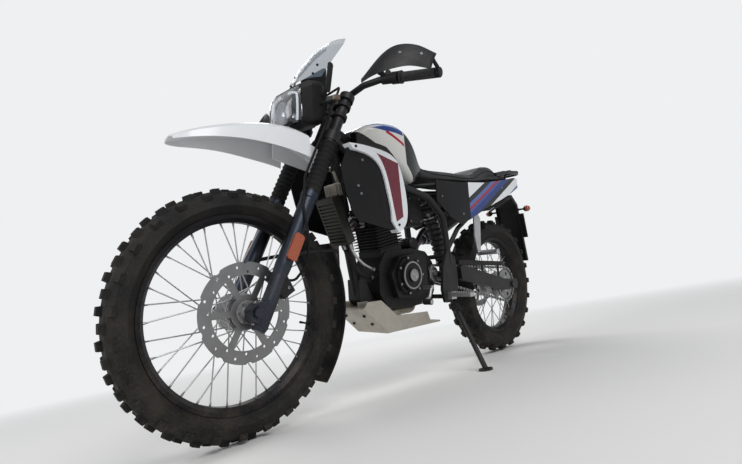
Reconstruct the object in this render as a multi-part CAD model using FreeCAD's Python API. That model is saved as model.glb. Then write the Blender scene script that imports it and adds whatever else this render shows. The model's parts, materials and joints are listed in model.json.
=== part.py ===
"""Dual sport motorcycle, parked on its side stand.

Every piece is drawn in the upright bike's own frame, in millimetres: x runs forward from the rear
axle, y runs to the rider's left, and z runs up from the ground. What turns with the handlebar is drawn
in the fork's frame, whose z axis is the steering axis. park() then leans the whole bike on its stand
and puts the origin on the ground, under the middle of the bike's box.
"""
import FreeCAD
import Part

import math
import os

V = FreeCAD.Vector
X, Y, Z = V(1, 0, 0), V(0, 1, 0), V(0, 0, 1)

# Overall layout
WHEELBASE = 1410.0
RAKE_DEG = 27.5
TRAIL = 116.0
LEAN_DEG = 9.0
STEER_DEG = 38.0

# Wheels: tip_r is the radius at the lugs' tips
FRONT_TIP_R = 347.0
REAR_TIP_R = 325.0
FRONT_TYRE_W = 92.0
REAR_TYRE_W = 122.0
FRONT_RIM_R = 266.0
REAR_RIM_R = 228.0
FRONT_RIM_W = 52.0
REAR_RIM_W = 64.0
FLANGE_H = 7.0
LUG_HEIGHT = 11.0
FRONT_LUG_STATIONS = 54
REAR_LUG_STATIONS = 46
SPOKES = 36
SPOKE_R = 1.9
AXLE_R = 9.0
RUNNING_FIT = 0.05
SEAT_GAP = 0.3

# Fork, in the fork's own frame
AXLE_OFFSET = 57.3
LEG_OFFSET = 27.3
LEG_SPREAD = 92.0
LEG_R = 24.0
STANCHION_R = 18.5
LEG_BOTTOM = -42.0
LEG_TOP = 395.0
LOWER_YOKE_Z = 590.0
LOWER_YOKE_T = 34.0
UPPER_YOKE_Z = 766.0
UPPER_YOKE_T = 24.0
STEM_R = 17.0
HEAD_TUBE_R = 29.0
BAR_X = 10.0
BAR_Z = 812.0
MIRROR_HOLE_R = 5.0

# Brakes and drive
FRONT_DISC_R = 138.0
REAR_DISC_R = 110.0
DISC_T = 4.0
FRONT_DISC_Y = 52.0
REAR_DISC_Y = -70.0
CHAIN_Y = 76.0
CHAIN_PITCH = 12.7
FRONT_TEETH = 15
REAR_TEETH = 40
GEARBOX = V(582, 0, 410)

# Rear suspension
PIVOT = V(500, 0, 400)
PIVOT_R = 16.0
PLATE_Y = 98.0

# Frame tubes
BACKBONE_R = 21.0
DOWNTUBE_R = 18.0

# Side stand, in the upright bike's frame
STAND_PIVOT = V(515, 126, 262)
STAND_FOOT = V(548, 262, 4)
STAND_FOLDED = V(-0.985, 0.10, 0.14)

RAKE = math.radians(RAKE_DEG)
LEAN = math.radians(LEAN_DEG)


# Shape helpers

def rounded_path(points, bend):
    """Straight runs through the points, joined by tangent arcs of the bend radius."""
    edges = []
    start = points[0]
    for before, corner, after in zip(points, points[1:], points[2:]):
        into = (corner - before).normalize()
        out = (after - corner).normalize()
        half = into.getAngle(out) / 2
        if half < 0.01:
            continue
        shorter = min(before.distanceToPoint(corner), corner.distanceToPoint(after))
        cut = min(bend * math.tan(half), 0.45 * shorter)
        radius = cut / math.tan(half)
        middle = corner + (out - into).normalize() * (radius / math.cos(half) - radius)
        edges.append(Part.makeLine(start, corner - into * cut))
        edges.append(Part.Arc(corner - into * cut, middle, corner + out * cut).toShape())
        start = corner + out * cut
    edges.append(Part.makeLine(start, points[-1]))
    return Part.Wire(edges)


def tube(points, radius, bend=60.0):
    """A round bar or pipe along the points."""
    path = rounded_path(points, bend)
    ring = Part.Wire(Part.makeCircle(radius, points[0], points[1] - points[0]))
    return path.makePipeShell([ring], True, False)


def cylinder(radius, start, end):
    """A round bar from one point to another."""
    return Part.makeCylinder(radius, (end - start).Length, start, end - start)


def bar_y(radius, x, z, y0, y1):
    """A round bar across the bike."""
    return cylinder(radius, V(x, y0, z), V(x, y1, z))


def block(x0, x1, y0, y1, z0, z1):
    """A box between two corners."""
    return Part.makeBox(x1 - x0, y1 - y0, z1 - z0, V(x0, y0, z0))


def outline(points, radius=0.0):
    """A closed flat wire through the points, its corners rounded by the radius."""
    if radius <= 0:
        return Part.makePolygon(points + points[:1])
    edges = []
    count = len(points)
    ends = []
    for i, corner in enumerate(points):
        before, after = points[i - 1], points[(i + 1) % count]
        into = (corner - before).normalize()
        out = (after - corner).normalize()
        half = into.getAngle(out) / 2
        shorter = min(before.distanceToPoint(corner), corner.distanceToPoint(after))
        cut = min(radius * math.tan(half), 0.45 * shorter)
        bow = cut / math.tan(half) * (1 / math.cos(half) - 1) if half > 0.01 else 0
        middle = corner + (out - into).normalize() * bow if half > 0.01 else corner
        ends.append((corner - into * cut, middle, corner + out * cut))
    for i, (first, middle, last) in enumerate(ends):
        edges.append(Part.Arc(first, middle, last).toShape())
        edges.append(Part.makeLine(last, ends[(i + 1) % count][0]))
    return Part.Wire(edges)


def plate(points, y0, y1, radius=0.0):
    """A plate whose outline is given as (x, z) pairs, from y0 to y1."""
    wire = outline([V(x, y0, z) for x, z in points], radius)
    return Part.Face(wire).extrude(V(0, y1 - y0, 0))


def plate_z(points, z0, z1, radius=0.0):
    """A plate whose outline is given as (x, y) pairs, from z0 to z1."""
    wire = outline([V(x, y, z0) for x, y in points], radius)
    return Part.Face(wire).extrude(V(0, 0, z1 - z0))


def turned(profile, centre):
    """A ring turned about an axle: the profile is (radius, y) pairs around the centre."""
    face = Part.Face(Part.makePolygon([V(r, y, 0) for r, y in profile + profile[:1]]))
    ring = face.revolve(V(0, 0, 0), Y, 360)
    ring.translate(centre)
    return ring


def turned_z(profile, centre):
    """A ring turned about an upright axis: the profile is (radius, z) pairs."""
    face = Part.Face(Part.makePolygon([V(r, 0, z) for r, z in profile + profile[:1]]))
    ring = face.revolve(V(0, 0, 0), Z, 360)
    ring.translate(centre)
    return ring


def fuse(shapes):
    """One solid out of several that meet."""
    shapes = list(shapes)
    return shapes[0].multiFuse(shapes[1:]).removeSplitter() if len(shapes) > 1 else shapes[0]


def other_side(shape):
    """The same piece on the bike's other side."""
    return shape.mirror(V(0, 0, 0), Y)


def pair(shape):
    """A piece and its mirror image, as two solids."""
    return Part.makeCompound([shape, other_side(shape)])


def both(shapes):
    """The shapes and their mirror images, as one list."""
    return [*shapes, *(other_side(s) for s in shapes)]


def swept(points):
    """A smooth curved edge through the points."""
    curve = Part.BSplineCurve()
    curve.interpolate(points)
    return curve.toShape()


def loft(wires, ruled=False):
    """A solid through closed wires."""
    return Part.makeLoft(wires, True, ruled)


# The fork's frame

def fork_placement():
    """Carries the fork's frame into the upright bike's: its z axis is the steering axis, and the
    front axle crosses its x axis."""
    axle = V(WHEELBASE, 0, FRONT_TIP_R)
    forward = V(math.cos(RAKE), 0, math.sin(RAKE))
    base = axle - forward * AXLE_OFFSET
    return FreeCAD.Placement(base, FreeCAD.Rotation(Y, -RAKE_DEG))


def in_fork(shape):
    """A piece drawn in the fork's frame, put into the upright bike's."""
    placed = shape.copy()
    placed.Placement = fork_placement().multiply(placed.Placement)
    return placed


def fork_point(x, y, z):
    """A point of the fork's frame, in the upright bike's."""
    return fork_placement().multVec(V(x, y, z))


def to_fork(x, y, z):
    """A point of the upright bike's frame, in the fork's."""
    return fork_placement().inverse().multVec(V(x, y, z))


# Wheels

FRONT_AXLE = V(WHEELBASE, 0, FRONT_TIP_R)
REAR_AXLE = V(0, 0, REAR_TIP_R)

# The tables of the pieces at the front are read with the front axle here
TABLE_AXLE = V(1410, 0, 347)


def at_front(shape):
    """A piece drawn from the tables of the front, moved to where the front axle is."""
    placed = shape.copy()
    placed.translate(FRONT_AXLE - TABLE_AXLE)
    return placed


def lug(radius, station_deg, y, width, length, lean_deg, tip):
    """One tread block, standing on the casing at the given radius and leaning outwards."""
    half_w, half_l = width / 2, length / 2
    foot = Part.makePolygon([V(0, -half_w, -half_l), V(0, half_w, -half_l), V(0, half_w, half_l),
                             V(0, -half_w, half_l), V(0, -half_w, -half_l)])
    taper = 0.82
    top = Part.makePolygon([V(tip, -half_w * taper, -half_l * taper), V(tip, half_w * taper, -half_l * taper),
                            V(tip, half_w * taper, half_l * taper), V(tip, -half_w * taper, half_l * taper),
                            V(tip, -half_w * taper, -half_l * taper)])
    piece = loft([foot, top], True)
    piece.rotate(V(0, 0, 0), Z, lean_deg)
    piece.translate(V(radius, y, 0))
    piece.rotate(V(0, 0, 0), Y, station_deg)
    return piece


def tyre(centre, tip_r, width, rim_r, rim_w, stations):
    """A knobbly tyre: a casing of five bands, with lugs in four rows that stagger from side to side."""
    half = width / 2
    crown = tip_r - LUG_HEIGHT
    bead = rim_w / 2
    casing = turned([
        (rim_r + FLANGE_H + 0.4, -bead + 3 + SEAT_GAP), (rim_r + SEAT_GAP, -bead + 5 + SEAT_GAP),
        (rim_r + SEAT_GAP, bead - 5 - SEAT_GAP), (rim_r + FLANGE_H + 0.4, bead - 3 - SEAT_GAP),
        (rim_r + 0.42 * (crown - rim_r), half),
        (crown - 14, half - 8),
        (crown, 0.36 * half), (crown, -0.36 * half),
        (crown - 14, -half + 8),
        (rim_r + 0.42 * (crown - rim_r), -half),
    ], V(0, 0, 0))
    step = 360.0 / stations
    pitch = 2 * math.pi * tip_r / stations
    sink = 3.0
    slope = math.atan2(14, half - 8 - 0.36 * half)
    outer_y = 0.76 * half
    outer_r = crown - (outer_y - 0.36 * half) * math.tan(slope)
    # Row: y of the foot, radius of the casing there, lean outwards, lug width
    rows = [(0.24 * half, crown, 0.0, 0.42 * half), (outer_y, outer_r, slope, 0.42 * half)]
    lugs = []
    for station in range(stations):
        side = 1 if station % 2 == 0 else -1
        for (y, casing_r, lean, lug_w), way in zip(rows, (side, -side)):
            foot_r, foot_y = casing_r - sink * math.cos(lean), y - sink * math.sin(lean)
            lugs.append(lug(foot_r, station * step, way * foot_y, lug_w, 0.62 * pitch,
                            way * math.degrees(lean), LUG_HEIGHT + sink))
    made = casing.multiFuse(lugs)
    made.translate(centre)
    return made


def rim(centre, rim_r, width):
    """A spoked wheel's rim: flanges outside, and a well that bows in towards the hub."""
    half = width / 2
    return turned([
        (rim_r + FLANGE_H, -half), (rim_r + FLANGE_H, -half + 3), (rim_r, -half + 5), (rim_r, half - 5),
        (rim_r + FLANGE_H, half - 3), (rim_r + FLANGE_H, half),
        (rim_r - 4, half - 1), (rim_r - 15, half * 0.45), (rim_r - 15, -half * 0.45),
        (rim_r - 4, -half + 1),
    ], centre)


def hub(centre, rim_r, flange_r, flange_y, barrel_r, half_length, seats):
    """A turned hub with two flanges and crossed spokes that reach into the rim. The seats are the bosses
    that carry the disc and the sprocket, as (radius, y0, y1)."""
    body = turned([
        (AXLE_R + RUNNING_FIT, -half_length), (barrel_r - 6, -half_length), (barrel_r - 4, -flange_y - 5),
        (flange_r, -flange_y - 4), (flange_r, -flange_y + 2), (barrel_r, -flange_y + 8),
        (barrel_r - 3, 0),
        (barrel_r, flange_y - 8), (flange_r, flange_y - 2), (flange_r, flange_y + 4),
        (barrel_r - 4, flange_y + 5), (barrel_r - 6, half_length), (AXLE_R + RUNNING_FIT, half_length),
    ], V(0, 0, 0))
    spokes = []
    step = 2 * math.pi / SPOKES
    reach = rim_r - 15 + 2
    for i in range(SPOKES):
        side = 1 if i % 2 == 0 else -1
        sweep = 1 if (i // 2) % 2 == 0 else -1
        rim_turn = i * step
        hub_turn = rim_turn + sweep * math.radians(58)
        root = flange_r - 7
        head = side * (flange_y + 1 + sweep * 2.4)
        start = V(root * math.cos(hub_turn), head, root * math.sin(hub_turn))
        end = V(reach * math.cos(rim_turn), side * 5, reach * math.sin(rim_turn))
        spokes.append(cylinder(SPOKE_R, start, end))
    bosses = [turned([(AXLE_R + RUNNING_FIT, y0), (r, y0), (r, y1), (AXLE_R + RUNNING_FIT, y1)], V(0, 0, 0))
              for r, y0, y1 in seats]
    made = body.multiFuse([*bosses, *spokes])
    made.translate(centre)
    return made


def brake_disc(centre, disc_r, y, arms, holes):
    """A wave-edged brake disc: a drilled ring on arms, with a bore that the hub's boss fills."""
    inner_ring = 0.74 * disc_r
    middle = DISC_T / 2
    ring = turned([(inner_ring, y - middle), (disc_r, y - middle), (disc_r, y + middle),
                   (inner_ring, y + middle)], V(0, 0, 0))
    boss_r = 0.24 * disc_r + 14
    centre_ring = turned([(boss_r - 14, y - middle), (boss_r, y - middle), (boss_r, y + middle),
                          (boss_r - 14, y + middle)], V(0, 0, 0))
    spokes = []
    for i in range(arms):
        arm = block(boss_r - 6, inner_ring + 5, y - middle, y + middle, -9, 9)
        arm.rotate(V(0, 0, 0), Y, i * 360.0 / arms)
        spokes.append(arm)
    made = ring.multiFuse([centre_ring, *spokes]).removeSplitter()
    waves = 10
    cutters = []
    for i in range(waves):
        turn = 2 * math.pi * (i + 0.5) / waves
        cutters.append(bar_y(13.0, (disc_r + 8) * math.cos(turn), (disc_r + 8) * math.sin(turn), y - 9, y + 9))
    drill_r = 0.028 * disc_r
    for i in range(holes):
        turn = 2 * math.pi * (i + 0.25) / holes
        at = disc_r * (0.80 if i % 2 == 0 else 0.90)
        cutters.append(bar_y(drill_r, at * math.cos(turn), at * math.sin(turn), y - 9, y + 9))
    made = made.cut(Part.makeCompound(cutters))
    made.translate(centre)
    return made


def sprocket(centre, teeth, y, thickness):
    """The rear sprocket: short teeth that turn inside the chain's loop."""
    pitch_r = CHAIN_PITCH / 2 / math.sin(math.pi / teeth)
    tip_r = pitch_r - 7.5
    root_r = tip_r - 5.0
    points = []
    for i in range(teeth):
        turn = 2 * math.pi * i / teeth
        quarter = math.pi / teeth / 2
        for r, shift in ((root_r, -1.6), (tip_r, -0.7), (tip_r, 0.7), (root_r, 1.6)):
            a = turn + shift * quarter
            points.append((r * math.cos(a), r * math.sin(a)))
    blank = plate(points, y - thickness / 2, y + thickness / 2)
    bore = bar_y(36.0, 0, 0, y - thickness, y + thickness)
    windows = []
    for i in range(5):
        turn = 2 * math.pi * (i + 0.5) / 5
        windows.append(bar_y(9.0, 52 * math.cos(turn), 52 * math.sin(turn), y - thickness, y + thickness))
    made = blank.cut(Part.makeCompound([bore, *windows]))
    made.translate(centre)
    return made


# Front end, drawn in the fork's frame

def fork_legs():
    """The two lower sliders with their axle lugs, the axle, and the brake's mounting ears."""
    legs = []
    for side in (1, -1):
        y = side * LEG_SPREAD
        slider = turned_z([(0, LEG_BOTTOM), (LEG_R - 6, LEG_BOTTOM), (LEG_R - 2, LEG_BOTTOM + 12),
                           (LEG_R - 2, 120), (LEG_R, 150), (LEG_R, LEG_TOP - 24), (LEG_R + 3, LEG_TOP - 20),
                           (LEG_R + 3, LEG_TOP), (0, LEG_TOP)], V(LEG_OFFSET, y, 0))
        inner, outer = sorted((side * (LEG_SPREAD - 22), side * (LEG_SPREAD + 20)))
        lug_block = plate([(LEG_OFFSET - 10, -34), (AXLE_OFFSET + 6, -24), (AXLE_OFFSET + 22, 0),
                           (AXLE_OFFSET + 10, 24), (LEG_OFFSET, 52)], inner, outer, 10)
        legs.append(fuse([slider, lug_block]))
    axle = bar_y(AXLE_R, AXLE_OFFSET, 0, -LEG_SPREAD - 30, LEG_SPREAD + 30)
    nut = bar_y(15.0, AXLE_OFFSET, 0, LEG_SPREAD + 20, LEG_SPREAD + 30)
    head = bar_y(15.0, AXLE_OFFSET, 0, -LEG_SPREAD - 30, -LEG_SPREAD - 20)
    return fuse([*legs, axle, nut, head])


def gaiters():
    """Bellows from the top of each slider up to the lower yoke."""
    folds = 11
    bottom, top = LEG_TOP + SEAT_GAP, LOWER_YOKE_Z - SEAT_GAP
    step = (top - bottom) / folds
    bore = STANCHION_R + SEAT_GAP
    profile = [(bore, bottom)]
    for i in range(folds):
        profile += [(24.0, bottom + i * step), (27.5, bottom + (i + 0.5) * step)]
    profile += [(24.0, top), (bore, top)]
    one = turned_z(profile, V(LEG_OFFSET, LEG_SPREAD, 0))
    return pair(one)


def yoke(z, thickness, boss_r, clamp_r):
    """One fork yoke: a web between the two clamps and the stem's boss."""
    web = plate_z([(-boss_r + 9, -20), (LEG_OFFSET - 14, -LEG_SPREAD), (LEG_OFFSET + 14, -LEG_SPREAD),
                   (26, 0), (LEG_OFFSET + 14, LEG_SPREAD), (LEG_OFFSET - 14, LEG_SPREAD),
                   (-boss_r + 9, 20)], z + 4, z + thickness - 4, 6)
    clamps = [cylinder(clamp_r, V(LEG_OFFSET, s * LEG_SPREAD, z), V(LEG_OFFSET, s * LEG_SPREAD, z + thickness))
              for s in (1, -1)]
    boss = cylinder(boss_r, V(0, 0, z), V(0, 0, z + thickness))
    return fuse([web, boss, *clamps])


def yokes_and_tubes():
    """The stanchions, both yokes, the stem, the fork caps and the handlebar's clamp."""
    tubes = [cylinder(STANCHION_R, V(LEG_OFFSET, s * LEG_SPREAD, LEG_TOP + SEAT_GAP),
                      V(LEG_OFFSET, s * LEG_SPREAD, UPPER_YOKE_Z + UPPER_YOKE_T + 4)) for s in (1, -1)]
    caps = [cylinder(STANCHION_R - 5, V(LEG_OFFSET, s * LEG_SPREAD, UPPER_YOKE_Z + UPPER_YOKE_T + 4),
                     V(LEG_OFFSET, s * LEG_SPREAD, UPPER_YOKE_Z + UPPER_YOKE_T + 9)) for s in (1, -1)]
    stem = cylinder(STEM_R, V(0, 0, LOWER_YOKE_Z + 10), V(0, 0, UPPER_YOKE_Z + UPPER_YOKE_T + 8))
    risers = [block(BAR_X - 15, BAR_X + 15, s * 45 - 11, s * 45 + 11, UPPER_YOKE_Z + UPPER_YOKE_T - 4,
                    BAR_Z + 18) for s in (1, -1)]
    bore = bar_y(14.3 + SEAT_GAP, BAR_X, BAR_Z, -80, 80)
    whole = fuse([yoke(LOWER_YOKE_Z, LOWER_YOKE_T, 33, 28), yoke(UPPER_YOKE_Z, UPPER_YOKE_T, 30, 26),
                  stem, *tubes, *caps, *risers])
    return whole.cut(bore)


# Handlebar: y, then how far back and up each point lies from the clamp
BAR_SHAPE = [(62, 0, 0), (140, 2, 20), (212, -8, 24), (402, -62, 14)]
BAR_R = 11.1


def bar_points(side):
    """The handlebar's bends on one side, from the clamp outwards."""
    return [V(BAR_X + back, side * y, BAR_Z + up) for y, back, up in BAR_SHAPE]


def handlebar():
    """A braced off-road bar: a thick middle, two rises and sweeps, and a cross brace."""
    left, right = bar_points(1), bar_points(-1)
    middle = bar_y(14.3, BAR_X, BAR_Z, -66, 66)
    halves = [tube([V(BAR_X, 0, BAR_Z), *points], BAR_R, 45) for points in (left, right)]
    return fuse([middle, *halves])


def bar_frame(side, along):
    """A point of the grip's straight run and its outward direction: along runs from 0 to 1."""
    inner, outer = bar_points(side)[2:]
    return inner + (outer - inner) * along, (outer - inner).normalize()


def grips():
    """Ribbed rubber grips over the bar's ends."""
    made = []
    for side in (1, -1):
        start, way = bar_frame(side, 0.37)
        end, way = bar_frame(side, 0.99)
        sleeve = cylinder(16.0, start, end)
        flange = cylinder(21.0, start, start + way * 5)
        bore = cylinder(BAR_R + SEAT_GAP, start - way * 5, end + way * 20)
        made.append(fuse([sleeve, flange]).cut(bore))
    return Part.makeCompound(made)


def mirror_hole(side):
    """The mouth of the mirror's threaded hole, on top of one side's lever perch."""
    perch_at, way = bar_frame(side, 0.09)
    return perch_at + Z * 33


def lever_pivot(side):
    """The lever's pin, ahead of the bar."""
    perch_at, way = bar_frame(side, 0.09)
    return perch_at + V(30, 0, 6)


def controls():
    """Each side's switch housing, lever perch and lever blade, with the brake's reservoir."""
    made = []
    for side in (1, -1):
        here, way = bar_frame(side, 0.235)
        switch = cylinder(20.0, here - way * 2, here + way * 20)
        perch_at, way = bar_frame(side, 0.09)
        perch = cylinder(17.0, perch_at - way * 11, perch_at + way * 11)
        link = cylinder(17.0, perch_at + way * 11, here - way * 2)
        pivot_at = lever_pivot(side)
        ear = cylinder(9.0, perch_at, pivot_at)
        pin = cylinder(9.0, pivot_at - Z * 9, pivot_at + Z * 9)
        outer, way = bar_frame(side, 0.94)
        blade = tube([pivot_at, pivot_at + V(12, side * 40, 0), outer + V(52, -side * 10, -2),
                      outer + V(40, side * 6, -2)], 5.5, 40)
        tip = Part.makeSphere(9.0, outer + V(40, side * 6, -2))
        boss_at = mirror_hole(side)
        pieces = [switch, perch, link, ear, pin, blade, tip, cylinder(MIRROR_HOLE_R + 4.5, perch_at, boss_at)]
        if side < 0:
            pieces.append(cylinder(18.0, pivot_at + V(10, 0, 6), pivot_at + V(10, 0, 34)))
        whole = fuse(pieces)
        bore = cylinder(BAR_R + SEAT_GAP, perch_at - way * 20, here + way * 60)
        made.append(whole.cut([bore, cylinder(MIRROR_HOLE_R, boss_at - Z * 13, boss_at + Z)]))
    return Part.makeCompound(made)


def hand_guards():
    """A swept shell in front of each grip, on an arm from the bar's end."""
    # y, x, low and high z of the shell's sections, from the inner tip outwards
    sections = [(278, 116, 692, 716), (315, 114, 702, 788), (350, 96, 726, 832), (390, 56, 762, 852),
                (424, 0, 786, 854)]
    wires = []
    for y, x, low, high in sections:
        mid = (low + high) / 2
        wires.append(outline([V(x - 8, y, high), V(x, y, mid), V(x - 4, y, low),
                              V(x - 8, y, low), V(x - 5, y, mid), V(x - 13, y, high)]))
    shell = loft(wires, True)
    end, way = bar_frame(1, 1.0)
    collar = cylinder(16.0, end + way * SEAT_GAP, end + way * 16)
    arm = tube([end + way * 8, end + way * 12 + V(26, 6, 8), V(4, 421, 838)], 6.5, 12)
    one = fuse([shell, collar, arm])
    return pair(one)


def fender_section(x, half_w, crown, shoulder, edge, wall):
    """One cross section of a mudguard's skin: sides, and a crowned top between the shoulders."""
    inner = half_w - wall
    outer_arc = Part.Arc(V(x, -half_w * 0.92, shoulder), V(x, 0, crown), V(x, half_w * 0.92, shoulder))
    inner_arc = Part.Arc(V(x, inner * 0.92, shoulder - wall), V(x, 0, crown - wall),
                         V(x, -inner * 0.92, shoulder - wall))
    left_edge, right_edge = V(x, half_w, edge), V(x, -half_w, edge)
    left_in, right_in = V(x, inner, edge), V(x, -inner, edge)
    return Part.Wire([
        outer_arc.toShape(), Part.makeLine(V(x, half_w * 0.92, shoulder), left_edge),
        Part.makeLine(left_edge, left_in), Part.makeLine(left_in, V(x, inner * 0.92, shoulder - wall)),
        inner_arc.toShape(), Part.makeLine(V(x, -inner * 0.92, shoulder - wall), right_in),
        Part.makeLine(right_in, right_edge), Part.makeLine(right_edge, V(x, -half_w * 0.92, shoulder)),
    ])


def front_fender():
    """The high front mudguard: a wide beak ahead of the fork and a narrow tail under the lower yoke."""
    wall = 3.5
    # x, half width, crown, shoulder and edge heights, in the upright bike's frame
    beak = [(1585, 30, 823, 815, 808), (1548, 55, 840, 828, 812), (1440, 76, 877, 856, 824),
            (1340, 86, 900, 872, 822), (1265, 88, 907, 878, 814), (1184, 86, 898, 868, 800)]
    tail = [(1235, 56, 903, 890, 820), (1130, 56, 852, 842, 800), (1078, 52, 828, 818, 790)]
    front = at_front(loft([fender_section(*row, wall) for row in beak]))
    rear = at_front(loft([fender_section(*row, wall) for row in tail], True))
    bosses = [in_fork(block(4, 26, s * 16 - 8, s * 16 + 8, 556, LOWER_YOKE_Z - SEAT_GAP)) for s in (1, -1)]
    return fuse([front, rear, *bosses])


def front_hugger():
    """The close black mudguard behind the front tyre, with its stays to the sliders."""
    inner, outer, half = FRONT_TIP_R + 13, FRONT_TIP_R + 17, 56.0
    sheet = turned([(inner, -half), (outer, -half + 8), (outer, half - 8), (inner, half),
                    (inner - 4, half), (outer - 4, half - 10), (outer - 4, -half + 10), (inner - 4, -half)],
                   V(0, 0, 0))
    wedge = Part.makeCylinder(500, 200, V(0, -100, 0), Y, 74)
    middle = wedge.CenterOfMass
    wedge.rotate(V(0, 0, 0), Y, math.degrees(math.atan2(middle.z, middle.x)) - 186)
    sector = sheet.common(wedge)
    sector.translate(FRONT_AXLE)
    reach = LEG_SPREAD - LEG_R - SEAT_GAP - 6
    behind = V(-0.907, 0, 0.421) * (FRONT_TIP_R + 28)
    stays = [tube([FRONT_AXLE + behind + V(0, s * 52, 0), FRONT_AXLE + behind + V(22, s * 65, 5),
                   FRONT_AXLE + V(-210, s * 64, 159), FRONT_AXLE + V(-106, s * reach, 145)], 6.0, 30)
             for s in (1, -1)]
    return fuse([sector, *stays])


def caliper(centre, disc_r, y, turn_deg, inner, outer):
    """A floating caliper that straddles a disc, at turn_deg round from straight ahead. inner and outer are
    the thicknesses of its two halves; the larger is the piston's side."""
    gap = DISC_T / 2 + 5
    low, high = sorted((y - math.copysign(gap + inner, y), y + math.copysign(gap + outer, y)))
    body = block(-36, 36, low, high, -26, 20)
    slot = block(-60, 60, y - gap, y + gap, -60, 7)
    made = body.cut(slot)
    made.rotate(V(0, 0, 0), Y, 90 - turn_deg)
    turn = math.radians(turn_deg)
    made.translate(centre + V((disc_r - 2) * math.cos(turn), 0, (disc_r - 2) * math.sin(turn)))
    return made


def headlamp_shell():
    """The black cowl that holds the headlamp and the dash, with the screen's posts."""
    # x, half width, low z, high z
    rows = [(1085, 60, 948, 1062), (1120, 80, 925, 1072), (1165, 84, 914, 1062), (1203, 78, 914, 1040)]
    shell = loft([hoop(*row, 22) for row in rows], True)
    dash = plate([(1086, 1050), (1104, 1050), (1098, 1122), (1076, 1132)], -58, 58, 6)
    posts = [tube([V(1118, s * 72, 1000), V(1118, s * 99, 1030), V(1097, s * 99, 1126)], 6.0, 20)
             for s in (1, -1)]
    made = [at_front(piece) for piece in (shell, dash, *posts)]
    for side in (1, -1):
        for z in (690, 735):
            ring = cylinder(25.0, V(LEG_OFFSET, side * LEG_SPREAD, z), V(LEG_OFFSET, side * LEG_SPREAD, z + 14))
            bore = cylinder(STANCHION_R + SEAT_GAP, V(LEG_OFFSET, side * LEG_SPREAD, z - 5),
                            V(LEG_OFFSET, side * LEG_SPREAD, z + 20))
            stay = cylinder(6, V(LEG_OFFSET + 15, side * 76, z + 7), V(LEG_OFFSET + 78, side * 44, z + 7))
            made.append(in_fork(fuse([ring, stay]).cut(bore)))
    return fuse(made)


def hoop(x, half_w, low, high, corner):
    """A rounded rectangle across the bike at x."""
    return outline([V(x, -half_w, low), V(x, half_w, low), V(x, half_w, high), V(x, -half_w, high)], corner)


def headlamp_lens():
    """The clear domed lens, a raked front over an upright chin."""
    rows = [(1203 + SEAT_GAP, 76, 916, 1038), (1232, 70, 914, 1010), (1250, 52, 922, 976)]
    return at_front(loft([hoop(*row, 20) for row in rows], True))


def windscreen():
    """A tall clear screen that bows round the dash."""
    wall = 3.5
    # z, x at the middle, half width, how far the sides fall back
    rows = [(1076, 1166, 88, 36), (1150, 1122, 95, 42), (1226, 1058, 86, 40), (1272, 1000, 54, 24)]
    wires = []
    for z, x, half_w, back in rows:
        front = Part.Arc(V(x - back, -half_w, z), V(x, 0, z), V(x - back, half_w, z))
        rear = Part.Arc(V(x - back - wall, half_w, z), V(x - wall, 0, z), V(x - back - wall, -half_w, z))
        wires.append(Part.Wire([
            front.toShape(), Part.makeLine(V(x - back, half_w, z), V(x - back - wall, half_w, z)),
            rear.toShape(), Part.makeLine(V(x - back - wall, -half_w, z), V(x - back, -half_w, z)),
        ]))
    return at_front(loft(wires, True))


def indicator(x, y, z, back):
    """One turn signal on its stalk, on the left side."""
    stalk = cylinder(6.0, V(x, y - 56.8, z), V(x, y - 14, z))
    lamp = loft([outline([V(x - 14, y - 16, z - 10), V(x + 14, y - 16, z - 10), V(x + 14, y - 16, z + 10),
                          V(x - 14, y - 16, z + 10)], 6),
                 outline([V(x - 12 + back, y + 22, z - 8), V(x + 8 + back, y + 22, z - 8),
                          V(x + 8 + back, y + 22, z + 8), V(x - 12 + back, y + 22, z + 8)], 5)], True)
    return at_front(fuse([stalk, lamp]))


def reflectors():
    """Amber reflectors on the sliders' outer faces."""
    one = plate([(LEG_OFFSET - 17, 168), (LEG_OFFSET + 17, 168), (LEG_OFFSET + 17, 250), (LEG_OFFSET - 17, 250)],
                LEG_SPREAD + LEG_R + SEAT_GAP, LEG_SPREAD + LEG_R + 8, 9)
    return pair(one)


# Where the front brake's hose leaves the caliper
CALIPER_PORT = FRONT_AXLE + V(-138.4, 43.0, 78.5)


def front_hose():
    """The front brake's hose, from the caliper up the left slider and across to the master cylinder."""
    end = fork_point(*(lever_pivot(-1) + V(0, 9 + SEAT_GAP, 0)))
    route = [(-52, 54, 142), (-44, 100, 190), (0, 126, 252), (50, 118, 330), (68, 94, 430), (68, 94, 740),
             (64, 84, 804), (48, 40, 828), (40, -60, 828)]
    points = [fork_point(*p) for p in route]
    return tube([CALIPER_PORT, *points, end + V(0, 60, 0), end], 4.0, 60)


# Chassis

def backbone(radius):
    """The tube from the head to the damper's mount."""
    return tube([fork_point(0, 0, 705), V(860, 0, 868), V(600, 0, 775), V(560, 0, 668)], radius, 60)


def downtube(radius):
    """The tube from the head down to the engine's front mount."""
    return tube([fork_point(-8, 0, 684), fork_point(-68, 0, 616), V(985, 0, 600), V(955, 0, 430),
                 V(940, 0, 345)], radius, 60)


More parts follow.
